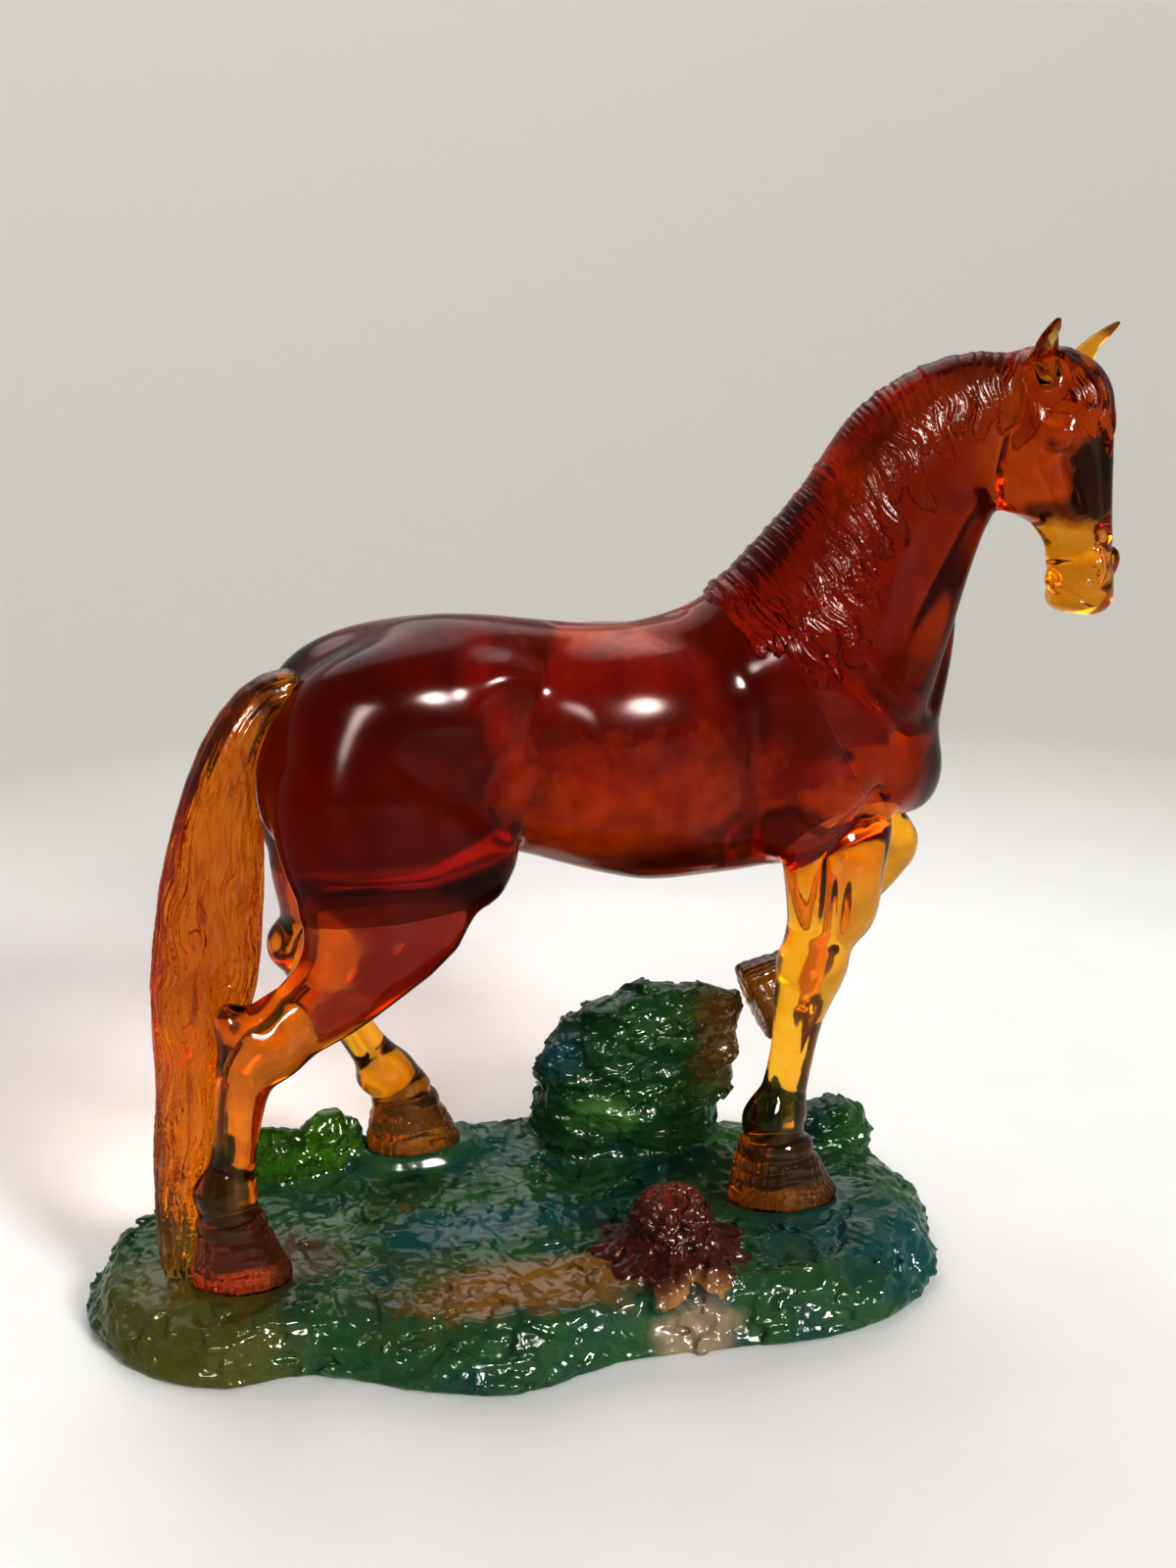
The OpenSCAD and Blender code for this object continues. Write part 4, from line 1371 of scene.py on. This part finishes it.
def deep_glass():
    """Lets light cross many glass surfaces, and shows the tones as the photograph does."""
    scene = bpy.context.scene
    scene.cycles.max_bounces = scene.cycles.transmission_bounces = 24
    scene.cycles.transparent_max_bounces = 48
    scene.view_settings.view_transform = "Standard"
    scene.view_settings.gamma = 0.78


def camera():
    """The photograph's view: from above the near left corner, down and towards the right."""
    data = bpy.data.cameras.new("camera")
    data.lens = 54
    data.sensor_width = 36
    view = add_object("camera", data)
    view.location = (-0.199, -0.7252, 0.430)
    down, right = 18.47, 17.5
    view.rotation_euler = (math.radians(90 - down), 0, math.radians(-right))
    bpy.context.scene.camera = view


# ---------------------------------------------------------------------------------------------
# The object
# ---------------------------------------------------------------------------------------------
def fitted(piece, node, material):
    """Puts a finished piece in the place of its CAD node."""
    piece.data.materials.append(material)
    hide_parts(node)
    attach(piece, "root")


def build():
    ruby, russet, amber, ember, gold = ruby_glass(), neck_glass(), amber_glass(), head_glass(), gold_glass()
    ear, hoof, moss, rock = ear_glass(), hoof_glass(), moss_glass(), rock_glass()
    leaf, burr, hair, strand = leaf_glass(), burr_glass(), hair_glass(), tail_glass()
    looks = [
        ("ruby_glass", ruby, ["torso"]),
        ("ruby_glass", russet, ["neck"]),
        ("amber_glass", ember, ["head"]),
        ("gold_glass", gold, ["muzzle"]),
        ("gold_glass", ear, EARS),
        ("gold_glass", gold, ["foreleg_right", "foreleg_left"]),
        ("amber_glass", amber, ["hindleg_right", "hindleg_left"]),
        ("hoof_glass", hoof, HOOVES),
        ("base_glass", moss, ["base_ground"]),
        ("rock_glass", rock, ["boulder", "back_rock"]),
        ("leaf_glass", leaf, ["leaf_tuft"]),
        ("burr_glass", burr, ["burr_ball", "burr_roots"]),
    ]
    for slot, material, names in looks:
        for name in names:
            made = horse_piece(name) if name in FLESH else ground_piece(name)
            fitted(made, name, material)
    fitted(hair_piece("mane", mane_height, 0.55, MANE_BOX), "mane", hair)
    fitted(hair_piece("forelock", forelock_height, 0.4, FORELOCK_BOX), "forelock", hair)
    fitted(tail_piece(), "tail", strand)


build()
floor()
lights()
deep_glass()
camera()
